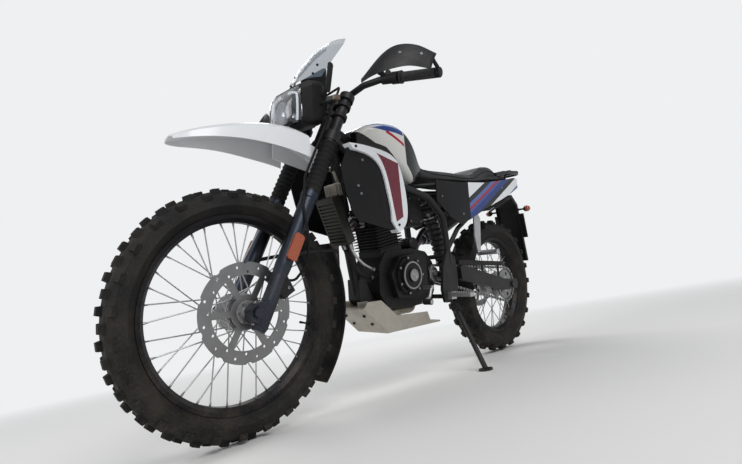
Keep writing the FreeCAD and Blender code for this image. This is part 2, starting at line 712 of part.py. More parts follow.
def frame():
    """The head tube, backbone, downtube, side rails, pivot plates and rear subframe."""
    head = cylinder(HEAD_TUBE_R, fork_point(0, 0, LOWER_YOKE_Z + LOWER_YOKE_T + 1.5),
                    fork_point(0, 0, UPPER_YOKE_Z - 1.5))
    stem_hole = cylinder(STEM_R + RUNNING_FIT, fork_point(0, 0, 500), fork_point(0, 0, 900))
    rails = [
        tube([fork_point(-24.5, 16, 667), V(900, 92, 768), V(620, 98, 715), V(520, 98, 640), V(500, 98, 440)], 14, 70),
        tube([V(600, 12, 775), V(520, 78, 775), V(420, 92, 775), V(150, 96, 800), V(-150, 92, 842)], 11, 60),
        tube([V(505, 98, 500), V(420, 100, 590), V(20, 98, 812)], 10, 60),
    ]
    pivot_plate = plate([(472, 470), (525, 500), (560, 430), (575, 340), (562, 288), (486, 286), (466, 340),
                         (462, 400)], PLATE_Y, PLATE_Y + 12, 12)
    cross = [bar_y(11, 560, 670, -98, 98), bar_y(9, -130, 840, -92, 92), bar_y(9, 250, 791, -95, 95),
             bar_y(9, 544, 312, -100, 100), bar_y(9, 528, 474, -100, 100)]
    front_mount = plate([(958, 410), (928, 405), (900, 352), (900, 322), (930, 312), (958, 335)], -30, 30, 6)
    shock_mount = plate([(572, 690), (490, 718), (470, 700), (472, 672), (560, 652)], 15, 24, 6)
    spine = [head, backbone(BACKBONE_R), downtube(DOWNTUBE_R)]
    whole = fuse([*spine, *both(rails), *both([pivot_plate]), *cross, front_mount,
                  *both([shock_mount]), stand_clevis()])
    return whole.cut(stem_hole)


def swingarm():
    """Two box arms from the pivot to the axle, a bridge ahead of the tyre, and the rear axle."""
    neck = plate([(530, 392), (524, 420), (400, 428), (380, 400), (400, 372), (520, 378)], 85, 97, 8)
    box = plate([(440, 376), (448, 424), (430, 434), (60, 352), (-48, 348), (-58, 325), (-48, 302),
                 (60, 300), (420, 366)], 95, 118, 8)
    inner = plate([(400, 362), (410, 428), (60, 350), (60, 302)], 87, 97, 6)
    bridge = plate([(368, 366), (408, 376), (408, 414), (368, 404)], -97, 97, 8)
    pivot = bar_y(PIVOT_R, PIVOT.x, PIVOT.z, -PLATE_Y + SEAT_GAP, PLATE_Y - SEAT_GAP)
    axle = bar_y(AXLE_R, REAR_AXLE.x, REAR_AXLE.z, -126, 126)
    nuts = both([bar_y(15, REAR_AXLE.x, REAR_AXLE.z, 116, 126)])
    shock_lugs = both([plate([(376, 400), (408, 406), (404, 440), (380, 440)], 14, 22, 5)])
    return fuse([*both([neck, box, inner]), bridge, pivot, axle, *nuts, *shock_lugs])


SHOCK_LOW = V(392, 0, 428)
SHOCK_HIGH = V(494, 0, 694)


def shock_axis():
    """The damper's length and the unit vector along it."""
    run = SHOCK_HIGH - SHOCK_LOW
    return run.Length, run.normalize()


def along_shock(shape):
    """A piece drawn along z from the origin, laid along the damper from its lower eye."""
    length, way = shock_axis()
    placed = shape.copy()
    placed.Placement = FreeCAD.Placement(SHOCK_LOW, FreeCAD.Rotation(Z, way))
    return placed


def damper():
    """The damper body, rod, spring seats and the two eyes."""
    length, way = shock_axis()
    core = along_shock(turned_z([(0, 0), (10, 0), (10, 60), (19, 62), (19, length - 50), (10, length - 46),
                                 (10, length), (0, length)], V(0, 0, 0)))
    seats = [along_shock(turned_z([(0, a), (33, a), (33, a + 6), (0, a + 6)], V(0, 0, 0)))
             for a in (26, length - 50)]
    eyes = [bar_y(12.0, p.x, p.z, -13.7, 13.7) for p in (SHOCK_LOW, SHOCK_HIGH)]
    return fuse([core, *seats, *eyes])


def shock_spring():
    """The spring over the damper, as a stack of coils."""
    length, way = shock_axis()
    low, high = 32 + SEAT_GAP, length - 50 - SEAT_GAP
    coils = 8
    step = (high - low) / coils
    profile = [(20.0, low)]
    for i in range(coils):
        profile += [(24.0, low + i * step), (31.0, low + (i + 0.3) * step), (31.0, low + (i + 0.7) * step)]
    profile += [(24.0, high), (20.0, high)]
    return along_shock(turned_z(profile, V(0, 0, 0)))


def chain_path():
    """The chain's pitch line as (x, z, heading) at every pitch, starting on top of the rear sprocket."""
    small = CHAIN_PITCH / 2 / math.sin(math.pi / FRONT_TEETH)
    large = CHAIN_PITCH / 2 / math.sin(math.pi / REAR_TEETH)
    run = GEARBOX - REAR_AXLE
    line = math.atan2(run.z, run.x)
    dip = math.asin((large - small) / run.Length)
    straight = run.Length * math.cos(dip)
    upper, lower = line - dip, line + dip
    wrap_small, wrap_large = math.pi - 2 * dip, math.pi + 2 * dip
    total = 2 * straight + small * wrap_small + large * wrap_large
    count = 2 * round(total / CHAIN_PITCH / 2)
    points = []
    for i in range(count):
        s = total * i / count
        if s < straight:
            normal = upper + math.pi / 2
            x = REAR_AXLE.x + large * math.cos(normal) + s * math.cos(upper)
            z = REAR_AXLE.z + large * math.sin(normal) + s * math.sin(upper)
            points.append((x, z, upper))
        elif s < straight + small * wrap_small:
            normal = upper + math.pi / 2 - (s - straight) / small
            points.append((GEARBOX.x + small * math.cos(normal), GEARBOX.z + small * math.sin(normal),
                           normal - math.pi / 2))
        elif s < 2 * straight + small * wrap_small:
            left = 2 * straight + small * wrap_small - s
            normal = lower - math.pi / 2
            x = REAR_AXLE.x + large * math.cos(normal) + left * math.cos(lower)
            z = REAR_AXLE.z + large * math.sin(normal) + left * math.sin(lower)
            points.append((x, z, lower + math.pi))
        else:
            normal = lower - math.pi / 2 - (s - 2 * straight - small * wrap_small) / large
            points.append((REAR_AXLE.x + large * math.cos(normal), REAR_AXLE.z + large * math.sin(normal),
                           normal - math.pi / 2))
    return points


def chain():
    """The drive chain: a band of rollers and inner plates, with outer plates at every second pitch."""
    path = chain_path()

    def ring(offset):
        return [(x - offset * math.sin(a), z + offset * math.cos(a)) for x, z, a in path]

    band = plate(ring(5.0), CHAIN_Y - 4, CHAIN_Y + 4).cut(plate(ring(-5.0), CHAIN_Y - 9, CHAIN_Y + 9))
    plates = []
    for x, z, a in path[::2]:
        for y0, y1 in ((CHAIN_Y - 7, CHAIN_Y - 3), (CHAIN_Y + 3, CHAIN_Y + 7)):
            link = block(-9.0, 9.0, y0, y1, -4.5, 4.5)
            link.rotate(V(0, 0, 0), Y, -math.degrees(a))
            link.translate(V(x, 0, z))
            plates.append(link)
    return band.multiFuse(plates)


def front_sprocket():
    """The gearbox sprocket that fills the chain's front loop, on its shaft."""
    small = CHAIN_PITCH / 2 / math.sin(math.pi / FRONT_TEETH)
    wheel = bar_y(small - 6.2, GEARBOX.x, GEARBOX.z, CHAIN_Y - 3.5, CHAIN_Y + 3.5)
    shaft = bar_y(12.0, GEARBOX.x, GEARBOX.z, 62 + SEAT_GAP, CHAIN_Y + 12)
    return fuse([wheel, shaft])


def chain_guard():
    """The guard over the chain's upper run."""
    top = plate([(430, 452), (60, 434), (60, 438), (428, 456)], CHAIN_Y - 9, CHAIN_Y + 25)
    side = plate([(432, 436), (60, 416), (40, 430), (60, 438), (428, 456)], CHAIN_Y + 20, CHAIN_Y + 25, 4)
    rise = 82 / 370.0
    legs = [plate([(x - 6, 425), (x + 6, 430), (x + 6, 352.4 + rise * (x - 54)), (x - 6, 352.4 + rise * (x - 66))],
                  CHAIN_Y + 20, CHAIN_Y + 25) for x in (96, 240)]
    return fuse([top, side, *legs])


# Engine

def cover_bolts(x, z, radius, count, y0, y1):
    """The bosses and heads of the bolts round a cover."""
    made = []
    for i in range(count):
        turn = 2 * math.pi * (i + 0.5) / count
        made.append(bar_y(6.5, x + radius * math.cos(turn), z + radius * math.sin(turn), y0, y1))
    return made


def engine_cases():
    """Crankcase with the generator's cover on the left and the clutch cover on the right."""
    case = plate([(566, 452), (610, 498), (700, 512), (850, 502), (885, 450), (890, 350), (850, 298),
                  (740, 288), (600, 296), (568, 340)], -66, 62, 22)
    left = [bar_y(70, 758, 409, 60, 100), bar_y(56, 758, 409, 98, 112), bar_y(24, 758, 409, 110, 118),
            plate([(640, 470), (700, 492), (800, 480), (850, 420), (820, 330), (700, 320), (640, 350)], 60, 88, 18)]
    right = [bar_y(80, 680, 410, -96, -64), bar_y(62, 680, 410, -108, -94), bar_y(48, 790, 404, -98, -64),
             plate([(600, 470), (700, 496), (840, 470), (850, 360), (780, 310), (620, 316)], -84, -64, 18)]
    bolts = [*cover_bolts(758, 409, 66, 7, 70, 104), *cover_bolts(680, 410, 76, 8, -100, -70)]
    filler = cylinder(13, V(640, -60, 500), V(640, -72, 522))
    deck = on_cylinder(block(-58, 58, -58, 58, -30, BARREL_FOOT - SEAT_GAP))
    front_lug = block(868, 900 - SEAT_GAP, -24, 24, 326, 348)
    rear_lug = block(549, 600, -40, 40, 303, 321).cut(bar_y(9 + SEAT_GAP, 544, 312, -60, 60))
    return fuse([case, deck, *left, *right, *bolts, filler, front_lug, rear_lug])


ENGINE_TILT_DEG = 12.0
CYLINDER_FOOT = V(808, 0, 502)
BARREL_FOOT = 18.0


def on_cylinder(shape):
    """A piece drawn with the bore along z, set on the crankcase."""
    placed = shape.copy()
    placed.Placement = FreeCAD.Placement(CYLINDER_FOOT, FreeCAD.Rotation(Y, ENGINE_TILT_DEG))
    return placed


def on_cylinder_point(x, y, z):
    """A point of the cylinder's frame, in the upright bike's."""
    return FreeCAD.Placement(CYLINDER_FOOT, FreeCAD.Rotation(Y, ENGINE_TILT_DEG)).multVec(V(x, y, z))


# Each port's root and mouth, in the cylinder's frame
EXHAUST_PORT = (V(50, -22, 140), V(80, -22, 128))
INTAKE_PORT = (V(-50, 0, 150), V(-82, 0, 156))


def port_end(root, mouth):
    """A port's mouth and the way it points, in the upright bike's frame."""
    start, end = on_cylinder_point(*root), on_cylinder_point(*mouth)
    return end, (end - start).normalize()


def cylinder_and_head():
    """The finned barrel and head, the rocker cover, and the two ports."""
    barrel = block(-54, 54, -54, 54, BARREL_FOOT, 110)
    head = block(-56, 56, -60, 60, 105, 180)
    cover = plate([(-50, 178), (50, 178), (50, 205), (28, 226), (-28, 226), (-50, 205)], -56, 56, 6)
    fins = [plate_z([(-72, -68), (72, -68), (72, 68), (-72, 68)], 22 + 11 * i, 25.5 + 11 * i, 14) for i in range(8)]
    fins += [plate_z([(-68, -74), (70, -74), (70, 74), (-68, 74)], 116 + 12 * i, 120 + 12 * i, 14)
             for i in range(5)]
    ports = [cylinder(23, *EXHAUST_PORT), cylinder(26, *INTAKE_PORT)]
    return on_cylinder(fuse([barrel, head, cover, *fins, *ports]))


def exhaust_pipe():
    """The header from the head, down beside the downtube and back under the clutch cover."""
    start, way = port_end(*EXHAUST_PORT)
    can = (MUFFLER_REAR - MUFFLER_FRONT).normalize()
    return tube([start + way * SEAT_GAP, start + way * 34, V(964, -86, 560), V(952, -102, 340),
                 V(880, -106, 258), V(520, -112, 258), V(440, -152, 290), MUFFLER_FRONT - can * 45,
                 MUFFLER_FRONT + can * (20 - SEAT_GAP)], 18.5, 60)


MUFFLER_FRONT = V(345, -168, 560)
MUFFLER_REAR = V(-70, -172, 744)


def muffler():
    """The raised silencer on the right, a tapered can with an end cap."""
    run = MUFFLER_REAR - MUFFLER_FRONT
    length = run.Length
    can = turned_z([(0, 20), (24, 20), (44, 60), (50, 90), (50, length - 60), (40, length - 10), (30, length),
                    (16, length), (16, length - 30), (0, length - 30)], V(0, 0, 0))
    placed = can.copy()
    placed.Placement = FreeCAD.Placement(MUFFLER_FRONT, FreeCAD.Rotation(Z, run.normalize()))
    strap = block(184, 214, -115.4, -109.4 - SEAT_GAP, 640, 716)
    foot = block(184, 214, -127, -109.4 - SEAT_GAP, 634, 650)
    return fuse([placed, strap, foot])


def airbox():
    """The intake between the head and the rear damper."""
    start, way = port_end(*INTAKE_PORT)
    throat = cylinder(24, start + way * SEAT_GAP, start + way * 66)
    box = plate([(700, 600), (706, 728), (614, 728), (606, 600)], -58, 58, 12)
    return fuse([throat, box])


def oil_cooler():
    """The finned oil cooler ahead of the downtube, with its two pipes."""
    core = block(-18, 18, -26, 62, -84, 84)
    grooves = [block(a, a + 10, -20, 56, z, z + 5) for z in range(-72, 72, 12) for a in (-22, 12)]
    made = core.cut(Part.makeCompound(grooves))
    made = fuse([made, block(-40, -14, -9, 9, -8, 8)])
    made.Placement = FreeCAD.Placement(V(1042, 0, 612), FreeCAD.Rotation(Y, 22))
    return made.cut(downtube(DOWNTUBE_R + SEAT_GAP))


def bash_plate():
    """The bent alloy plate under the engine, open at the back."""
    floor = plate([(560, 214), (878, 212), (990, 308), (984, 313), (874, 218), (560, 220)], -74, 74)
    wall = plate([(620, 216), (876, 214), (986, 308), (966, 330), (900, 330), (820, 268), (640, 262)], 70, 75)
    brackets = [block(930, 975, s * 34 - 3, s * 34 + 3, 300, 330) for s in (1, -1)]
    return fuse([floor, *both([wall]), *brackets])


# Bodywork

def fuel_tank():
    """The tank over the backbone, with its filler cap."""
    rows = [(962, 66, 872, 930, 22), (915, 100, 850, 960, 28), (835, 122, 822, 974, 34), (760, 121, 786, 962, 34),
            (712, 112, 764, 935, 30), (655, 90, 782, 888, 26), (606, 66, 800, 858, 20)]
    body = loft([hoop(*row) for row in rows])
    tunnel = plate([(1000, 780), (1000, 966), (862, 904), (590, 808), (590, 700)], -36, 36)
    rails = [tube([V(1030, s * 16, 900), V(900, s * 92, 768), V(560, s * 99, 704)], 20, 70) for s in (1, -1)]
    cap = cylinder(36, V(812, 0, 955), V(806, 0, 982))
    whole = fuse([body, cap]).cut(Part.makeCompound([tunnel, *rails]))
    pad = block(690, 730, -15, 15, 822, 870)
    return fuse([whole, pad]).cut(backbone(BACKBONE_R + SEAT_GAP))


def skin(rows, thickness):
    """A side panel from rows of (x, low z, high z, outer y low, outer y high), front to rear."""
    wires = []
    for x, low, high, y_low, y_high in rows:
        wires.append(outline([V(x, y_low, low), V(x, y_high, high), V(x, y_high - thickness, high),
                              V(x, y_low - thickness, low)]))
    return loft(wires, True)


# One side's shroud from top to bottom: height, front x, rear x, and how far out its front, middle and rear lie
SHROUD_ROWS = [
    (842, 1074, 960, 143, 150, 152), (822, 1088, 862, 141, 152, 150), (766, 1112, 833, 138, 153, 148),
    (691, 1094, 819, 137, 153, 148), (625, 1069, 824, 138, 152, 148), (600, 1049, 832, 140, 152, 149),
    (572, 910, 862, 150, 151, 150),
]
SHROUD_T = 4.0
BLADE_T = 5.0


def shroud_wall(inwards, outwards):
    """The shroud's curved wall, from its outer face by so much inwards and outwards."""
    wires = []
    for z, front, rear, y_front, y_middle, y_rear in SHROUD_ROWS:
        line = [(front, y_front), (0.45 * front + 0.55 * rear, y_middle), (rear, y_rear)]
        wires.append(outline([V(x, y + outwards, z) for x, y in line]
                             + [V(x, y - inwards, z) for x, y in reversed(line)]))
    return loft(wires, True)


def tank_shrouds():
    """The dark shrouds from beside the fork down to the engine's front, each bossed to the frame's rail."""
    boss = bar_y(8, 860, 762, 92.9 + 14 + SEAT_GAP, 146)
    return pair(fuse([shroud_wall(SHROUD_T, 0), boss]))


# The blade's edges from its front tip over the top and down, as (x, z)
BLADE_OUTER = [(1088, 846), (1026, 848), (962, 845), (900, 836), (862, 815), (838, 770), (822, 691), (830, 600),
               (876, 562)]
BLADE_INNER = [(906, 600), (908, 650), (922, 708), (944, 776), (984, 812), (1030, 824), (1070, 828)]


def shroud_blades():
    """The pale blade that sweeps over each shroud's top and down its rear edge."""
    outer = swept([V(x, 125, z) for x, z in BLADE_OUTER])
    inner = swept([V(x, 125, z) for x, z in BLADE_INNER])
    foot = Part.makeLine(V(BLADE_OUTER[-1][0], 125, BLADE_OUTER[-1][1]), V(BLADE_INNER[0][0], 125, BLADE_INNER[0][1]))
    tip = Part.makeLine(V(BLADE_INNER[-1][0], 125, BLADE_INNER[-1][1]), V(BLADE_OUTER[0][0], 125, BLADE_OUTER[0][1]))
    face = Part.Face(Part.Wire([outer, foot, inner, tip]))
    blank = face.extrude(V(0, 28.4 + BLADE_T, 0))
    return pair(blank.cut(shroud_wall(60, SEAT_GAP)))


def seat():
    """The one-piece seat, narrow at the tank and stepped up for the passenger."""
    rows = [(602, 64, 802, 858, 18), (500, 84, 793, 838, 20), (350, 112, 797, 833, 18), (250, 116, 804, 844, 18),
            (190, 110, 812, 872, 20), (20, 100, 834, 888, 20), (-110, 78, 851, 886, 16)]
    return loft([hoop(*row) for row in rows])


def side_panels():
    """The white covers between seat, tank and tail."""
    rows = [(572, 700, 786, 114, 114), (500, 640, 788, 122, 118), (420, 606, 790, 124, 120),
            (340, 632, 796, 123, 122)]
    boss = bar_y(7, 400, 776.9, 92.3 + 11 + SEAT_GAP, 119)
    return pair(fuse([skin(rows, 4.0), boss]))


def tail_cowl():
    """The tail's side covers and the piece that joins them behind the seat."""
    rows = [(339, 632, 796, 123, 122), (200, 686, 808, 122, 121), (40, 738, 834, 118, 117),
            (-90, 784, 858, 114, 114), (-170, 818, 864, 110, 110)]
    sides = both([skin(rows, 4.0)])
    rear = plate_z([(-125, 112), (-172, 110), (-208, 70), (-208, -70), (-172, -110), (-125, -112)], 857, 866, 10)
    bosses = both([bar_y(7, 40, 815.4, 94.5 + 11 + 0.8, 116)])
    return fuse([*sides, rear, *bosses])


def rear_fender():
    """The long rear mudguard with its plate holder."""
    top = plate([(60, 700), (-60, 745), (-190, 790), (-250, 740), (-322, 434), (-316, 432), (-246, 728),
                 (-188, 782), (-60, 738), (60, 693)], -62, 62)
    lips = both([plate([(60, 690), (-60, 735), (-188, 790), (-250, 740), (-322, 434), (-304, 440), (-236, 728),
                        (-184, 770), (-60, 725), (60, 680)], 58, 63)])
    holder = plate([(-288, 560), (-297, 560), (-268, 690), (-259, 690)], -85, 85)
    tab = block(-137, -123, -18, 18, 766, 831 - SEAT_GAP)
    return fuse([top, *lips, holder, tab])


def tail_lamp():
    """The red lamp under the rack's end."""
    rows = [(-178, 52, 812, 856.7), (-240, 40, 818, 850)]
    return loft([hoop(*row, 10) for row in rows], True)


DECK_TOP = 912.0
LUGGAGE_HOLE_R = 4.2
LUGGAGE_HOLES = [(-150, 45), (-150, -45), (-225, 40), (-225, -40)]


def rack():
    """The carrier: a tube loop on four legs, with slats on top."""
    half = tube([V(90, 126, 856), V(-40, 124, 884), V(-190, 104, 904), V(-262, 70, 908), V(-266, 0, 908)], 8, 40)
    legs = [tube([V(-60, 122, 887), V(-66, 96, 876), V(-70, 93.2, 842 + SEAT_GAP)], 5, 8)]
    slats = [block(x - 9, x + 9, -98, 98, 902, 910) for x in (-130, -170, -210)]
    deck = plate_z([(-116, 70), (-240, 58), (-240, -58), (-116, -70)], 906, DECK_TOP, 10)
    holes = [cylinder(LUGGAGE_HOLE_R, V(x, y, 880), V(x, y, 930)) for x, y in LUGGAGE_HOLES]
    return fuse([*both([half, *legs]), *slats, deck]).cut(holes)


def rider_pegs():
    """The rider's pegs on their brackets."""
    bracket = block(512, 546, PLATE_Y + 12 + SEAT_GAP, 130, 300, 330)
    peg = plate_z([(508, 126), (546, 126), (540, 216), (512, 216)], 310, 326, 6)
    return pair(fuse([bracket, peg]))


def passenger_pegs():
    """The passenger's pegs on triangular hangers."""
    hanger = plate([(250, 640), (300, 690), (310, 560), (290, 470), (270, 470)], 109.9, 116, 6)
    peg = bar_y(11, 280, 482, 116, 205)
    return pair(fuse([hanger, peg]))


def pedals():
    """The gear lever on the left and the rear brake's pedal on the right."""
    shaft = bar_y(7, 672, 358, 88 + SEAT_GAP, 132)
    lever = tube([V(672, 126, 358), V(690, 128, 322), V(728, 130, 308)], 6, 20)
    toe = bar_y(8, 726, 308, 124, 164)
    pivot = bar_y(10, 556, 312, -128, -PLATE_Y - 12 - SEAT_GAP)
    pedal = tube([V(556, -122, 312), V(640, -126, 296), V(716, -132, 312)], 7, 30)
    pad = block(702, 736, -160, -126, 308, 318)
    return Part.makeCompound([fuse([shaft, lever, toe]), fuse([pivot, pedal, pad])])


# Side stand

def stand_direction():
    """Unit vectors along the stand when it is out, and along its hinge."""
    out = (STAND_FOOT - STAND_PIVOT).normalize()
    return out, out.cross(V(STAND_FOLDED).normalize()).normalize()


def stand_clevis():
    """The frame's bracket for the side stand, with its pin."""
    out, hinge = stand_direction()
    ears = [cylinder(13, STAND_PIVOT + hinge * a, STAND_PIVOT + hinge * b) for a, b in ((-16, -6.3), (6.3, 16))]
    pin = cylinder(5, STAND_PIVOT - hinge * 18, STAND_PIVOT + hinge * 18)
    arms = [cylinder(4.0, V(494, 104, 302), STAND_PIVOT + hinge * a + V(-8, 0, 6)) for a in (-14, 14)]
    return fuse([*ears, pin, *arms])


def side_stand(ground):
    """The side stand, out: an eye on the frame's pin, a leg, and a foot that lies on the ground."""
    out, hinge = stand_direction()
    eye = cylinder(13, STAND_PIVOT - hinge * 6, STAND_PIVOT + hinge * 6)
    neck = cylinder(5.5, STAND_PIVOT + out * 6, STAND_PIVOT + out * 22)
    flat = ground.multVec(STAND_FOOT)
    foot = Part.makeCylinder(26, 8, V(flat.x, flat.y, 0))
    foot.Placement = ground.inverse().multiply(foot.Placement)
    leg = cylinder(10, STAND_PIVOT + out * 18, ground.inverse().multVec(V(flat.x, flat.y, 7)))
    pin = cylinder(5 + RUNNING_FIT, STAND_PIVOT - hinge * 30, STAND_PIVOT + hinge * 30)
    return fuse([eye, neck, leg, foot]).cut(pin)


# Parking

def lowest(shape, lean):
    """The lowest corner of a tyre once the bike leans."""
    return min((lean.multVec(v.Point) for v in shape.Vertexes), key=lambda p: p.z)


def ground_placement(front_tyre, rear_tyre):
    """Leans the bike to the left and lets it down until both tyres touch the ground."""
    lean = FreeCAD.Placement(V(0, 0, 0), FreeCAD.Rotation(X, -LEAN_DEG))
    front, rear = lowest(front_tyre, lean), lowest(rear_tyre, lean)
    pitch = math.degrees(math.atan2(front.z - rear.z, front.x - rear.x))
    tilt = FreeCAD.Placement(V(0, 0, 0), FreeCAD.Rotation(Y, pitch))
    turned_bike = tilt.multiply(lean)
    drop = min(lowest(front_tyre, turned_bike).z, lowest(rear_tyre, turned_bike).z)
    return FreeCAD.Placement(V(0, 0, -drop), FreeCAD.Rotation()).multiply(turned_bike)


def rear_caliper():
    """The rear brake's caliper above the right arm."""
    body = caliper(REAR_AXLE, REAR_DISC_R, REAR_DISC_Y, 58, 12, 10)
    bracket = plate([(28, 392), (78, 408), (24, 322), (0, 303), (-22, 318), (-16, 344)], -86.5, -80, 10)
    around_axle = bar_y(AXLE_R + SEAT_GAP, 0, REAR_TIP_R, -100, -70)
    return fuse([body, bracket]).cut(around_axle)


def build():
    """Every piece by name, in the upright bike's frame, and the placement that parks the bike."""
    front_tyre = tyre(FRONT_AXLE, FRONT_TIP_R, FRONT_TYRE_W, FRONT_RIM_R, FRONT_RIM_W,
                      FRONT_LUG_STATIONS)
    rear_tyre = tyre(REAR_AXLE, REAR_TIP_R, REAR_TYRE_W, REAR_RIM_R, REAR_RIM_W,
                     REAR_LUG_STATIONS)
    ground = ground_placement(front_tyre, rear_tyre)
    parts = {
        "front_tyre": front_tyre,
        "front_rim": rim(FRONT_AXLE, FRONT_RIM_R, FRONT_RIM_W),
        "front_hub": hub(FRONT_AXLE, FRONT_RIM_R, 52, 28, 30, 46,
                         [(32.7, 20, FRONT_DISC_Y + 3), (14, -LEG_SPREAD + 22.5, LEG_SPREAD - 22.5)]),
        "front_disc": brake_disc(FRONT_AXLE, FRONT_DISC_R, FRONT_DISC_Y, 6, 24),
        "rear_tyre": rear_tyre,
        "rear_rim": rim(REAR_AXLE, REAR_RIM_R, REAR_RIM_W),
        "rear_hub": hub(REAR_AXLE, REAR_RIM_R, 64, 30, 38, 60,
                        [(26.1, REAR_DISC_Y - 3, -20), (35.7, 20, CHAIN_Y + 4), (14, -79.7, 84.7)]),
        "rear_disc": brake_disc(REAR_AXLE, REAR_DISC_R, REAR_DISC_Y, 5, 20),
        "rear_sprocket": sprocket(REAR_AXLE, REAR_TEETH, CHAIN_Y, 6.0),
        "fork_legs": in_fork(fork_legs()),
        "fork_gaiters": in_fork(gaiters()),
        "yokes_and_tubes": in_fork(yokes_and_tubes()),
        "handlebar": in_fork(handlebar()),
        "grips": in_fork(grips()),
        "bar_controls": in_fork(controls()),
        "hand_guards": in_fork(hand_guards()),
        "front_fender": front_fender(),
        "front_hugger": front_hugger(),
        "front_caliper": caliper(FRONT_AXLE, FRONT_DISC_R, FRONT_DISC_Y, 150, 16, 7),
        "headlamp_shell": headlamp_shell(),
        "headlamp_lens": headlamp_lens(),
        "windscreen": windscreen(),
        "front_indicators": pair(indicator(1128, 138, 985, 0)),
        "reflectors": in_fork(reflectors()),
        "front_brake_hose": front_hose(),
        "frame": frame(),
        "swingarm": swingarm(),
        "damper": damper(),
        "shock_spring": shock_spring(),
        "chain": chain(),
        "front_sprocket": front_sprocket(),
        "chain_guard": chain_guard(),
        "rear_caliper": rear_caliper(),
        "engine_cases": engine_cases(),
        "cylinder_and_head": cylinder_and_head(),
        "exhaust_pipe": exhaust_pipe(),
        "muffler": muffler(),
        "airbox": airbox(),
        "oil_cooler": oil_cooler(),
        "bash_plate": bash_plate(),
        "fuel_tank": fuel_tank(),
        "tank_shrouds": tank_shrouds(),
        "shroud_blades": shroud_blades(),
        "seat": seat(),
        "side_panels": side_panels(),
        "tail_cowl": tail_cowl(),
        "rear_fender": rear_fender(),
        "tail_lamp": tail_lamp(),
        "rack": rack(),
        "pegs_and_pedals": Part.makeCompound([rider_pegs(), passenger_pegs(), pedals()]),
        "side_stand": side_stand(ground),
    }
    return parts, ground


def park(parts, ground):
    """Parks every piece and moves the origin under the middle of the whole bike's box."""
    parked = {}
    box = FreeCAD.BoundBox()
    for name, shape in parts.items():
        placed = shape.copy()
        placed.Placement = ground.multiply(placed.Placement)
        placed.tessellate(1.0)
        parked[name] = placed
        box.add(placed.BoundBox)
    shift = FreeCAD.Placement(V(-box.Center.x, -box.Center.y, 0), FreeCAD.Rotation())
    for name, placed in parked.items():
        placed.Placement = shift.multiply(placed.Placement)
    return parked, shift.multiply(ground)


def main():
    parts, ground = build()
    parked, where = park(parts, ground)
    os.makedirs("parts", exist_ok=True)
    for name, shape in parked.items():
        shape.exportStep("parts/" + name + ".step")


if __name__ == "__main__":
    main()
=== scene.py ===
# %% [markdown]
# # A dual sport motorcycle, dressed in Blender
# The packed CAD model comes in first and stays as it is: it is the frame that every new piece is built around.
# Each later cell names one piece or one finish of the real machine, and makes it where the CAD says it is.

# %% Load the frame
import json
import math
from functools import reduce

import bmesh
import bpy
import numpy as np
from mathutils import Matrix, Vector


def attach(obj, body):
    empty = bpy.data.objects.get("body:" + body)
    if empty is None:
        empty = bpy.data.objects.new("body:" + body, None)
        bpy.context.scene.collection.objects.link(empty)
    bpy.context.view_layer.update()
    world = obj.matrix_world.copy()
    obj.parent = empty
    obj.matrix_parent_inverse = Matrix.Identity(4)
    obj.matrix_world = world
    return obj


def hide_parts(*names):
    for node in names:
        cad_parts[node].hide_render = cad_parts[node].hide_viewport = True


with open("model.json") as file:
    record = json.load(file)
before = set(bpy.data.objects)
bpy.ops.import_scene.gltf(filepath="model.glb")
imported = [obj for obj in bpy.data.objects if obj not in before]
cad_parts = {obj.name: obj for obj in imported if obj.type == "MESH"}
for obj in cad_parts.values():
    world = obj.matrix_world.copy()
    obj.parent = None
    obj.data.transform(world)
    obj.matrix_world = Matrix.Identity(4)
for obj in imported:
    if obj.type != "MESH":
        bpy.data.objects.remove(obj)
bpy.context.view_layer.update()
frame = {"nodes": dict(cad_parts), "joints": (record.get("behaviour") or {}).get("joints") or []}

NODES = frame["nodes"]

# %% [markdown]
# ## The machine's own axes
# The motorcycle leans on its side stand, so its own axes are turned a little from the room's. Both wheels spin about
# one direction, which is the machine's left, and the line between the two axles gives the other two. Sizes along those
# axes can then be written in millimetres, as a workshop drawing has them, and `place` puts them in the room.

# %% The machine's axes from its wheel joints
WHEELBASE, AXLE_RISE, REAR_RADIUS, FRONT_RADIUS = 1410.0, 22.0, 325.0, 347.0
REAR, FRONT = (0.0, REAR_RADIUS), (WHEELBASE, FRONT_RADIUS)
RAKE, FORK_OFFSET = math.radians(27.5), 57.3
JOINTS = {joint["name"]: joint for joint in frame["joints"]}


def unit(vectors):
    """Vectors made one long."""
    vectors = np.asarray(vectors, float)
    return vectors / np.linalg.norm(vectors, axis=-1, keepdims=True)


rear_axle = np.array(JOINTS["rear_wheel_spin"]["pos_m"])
LEFT = unit(JOINTS["rear_wheel_spin"]["axis"])
along = unit(JOINTS["front_wheel_spin"]["pos_m"] - rear_axle)
across = np.cross(along, LEFT)
rise = math.atan2(AXLE_RISE, WHEELBASE)
AHEAD = math.cos(rise) * along - math.sin(rise) * across
UP = math.sin(rise) * along + math.cos(rise) * across
AXES = np.array([AHEAD, LEFT, UP])
GROUND_POINT = rear_axle - UP * REAR_RADIUS / 1000
FORK_AHEAD = np.array([math.cos(RAKE), 0, math.sin(RAKE)])
FORK_UP = np.array([-math.sin(RAKE), 0, math.cos(RAKE)])
FORK_AXES = np.array([FORK_AHEAD, (0, 1, 0), FORK_UP])
FORK_BASE = np.array([WHEELBASE, 0, FRONT_RADIUS]) - FORK_AHEAD * FORK_OFFSET


def place(points):
    """Millimetres ahead, left and up from under the rear axle, to metres in the room."""
    return GROUND_POINT + np.asarray(points, float) @ AXES / 1000


def fork(points):
    """Millimetres ahead, left and up along the fork, to the machine's own millimetres."""
    return FORK_BASE + np.asarray(points, float) @ FORK_AXES


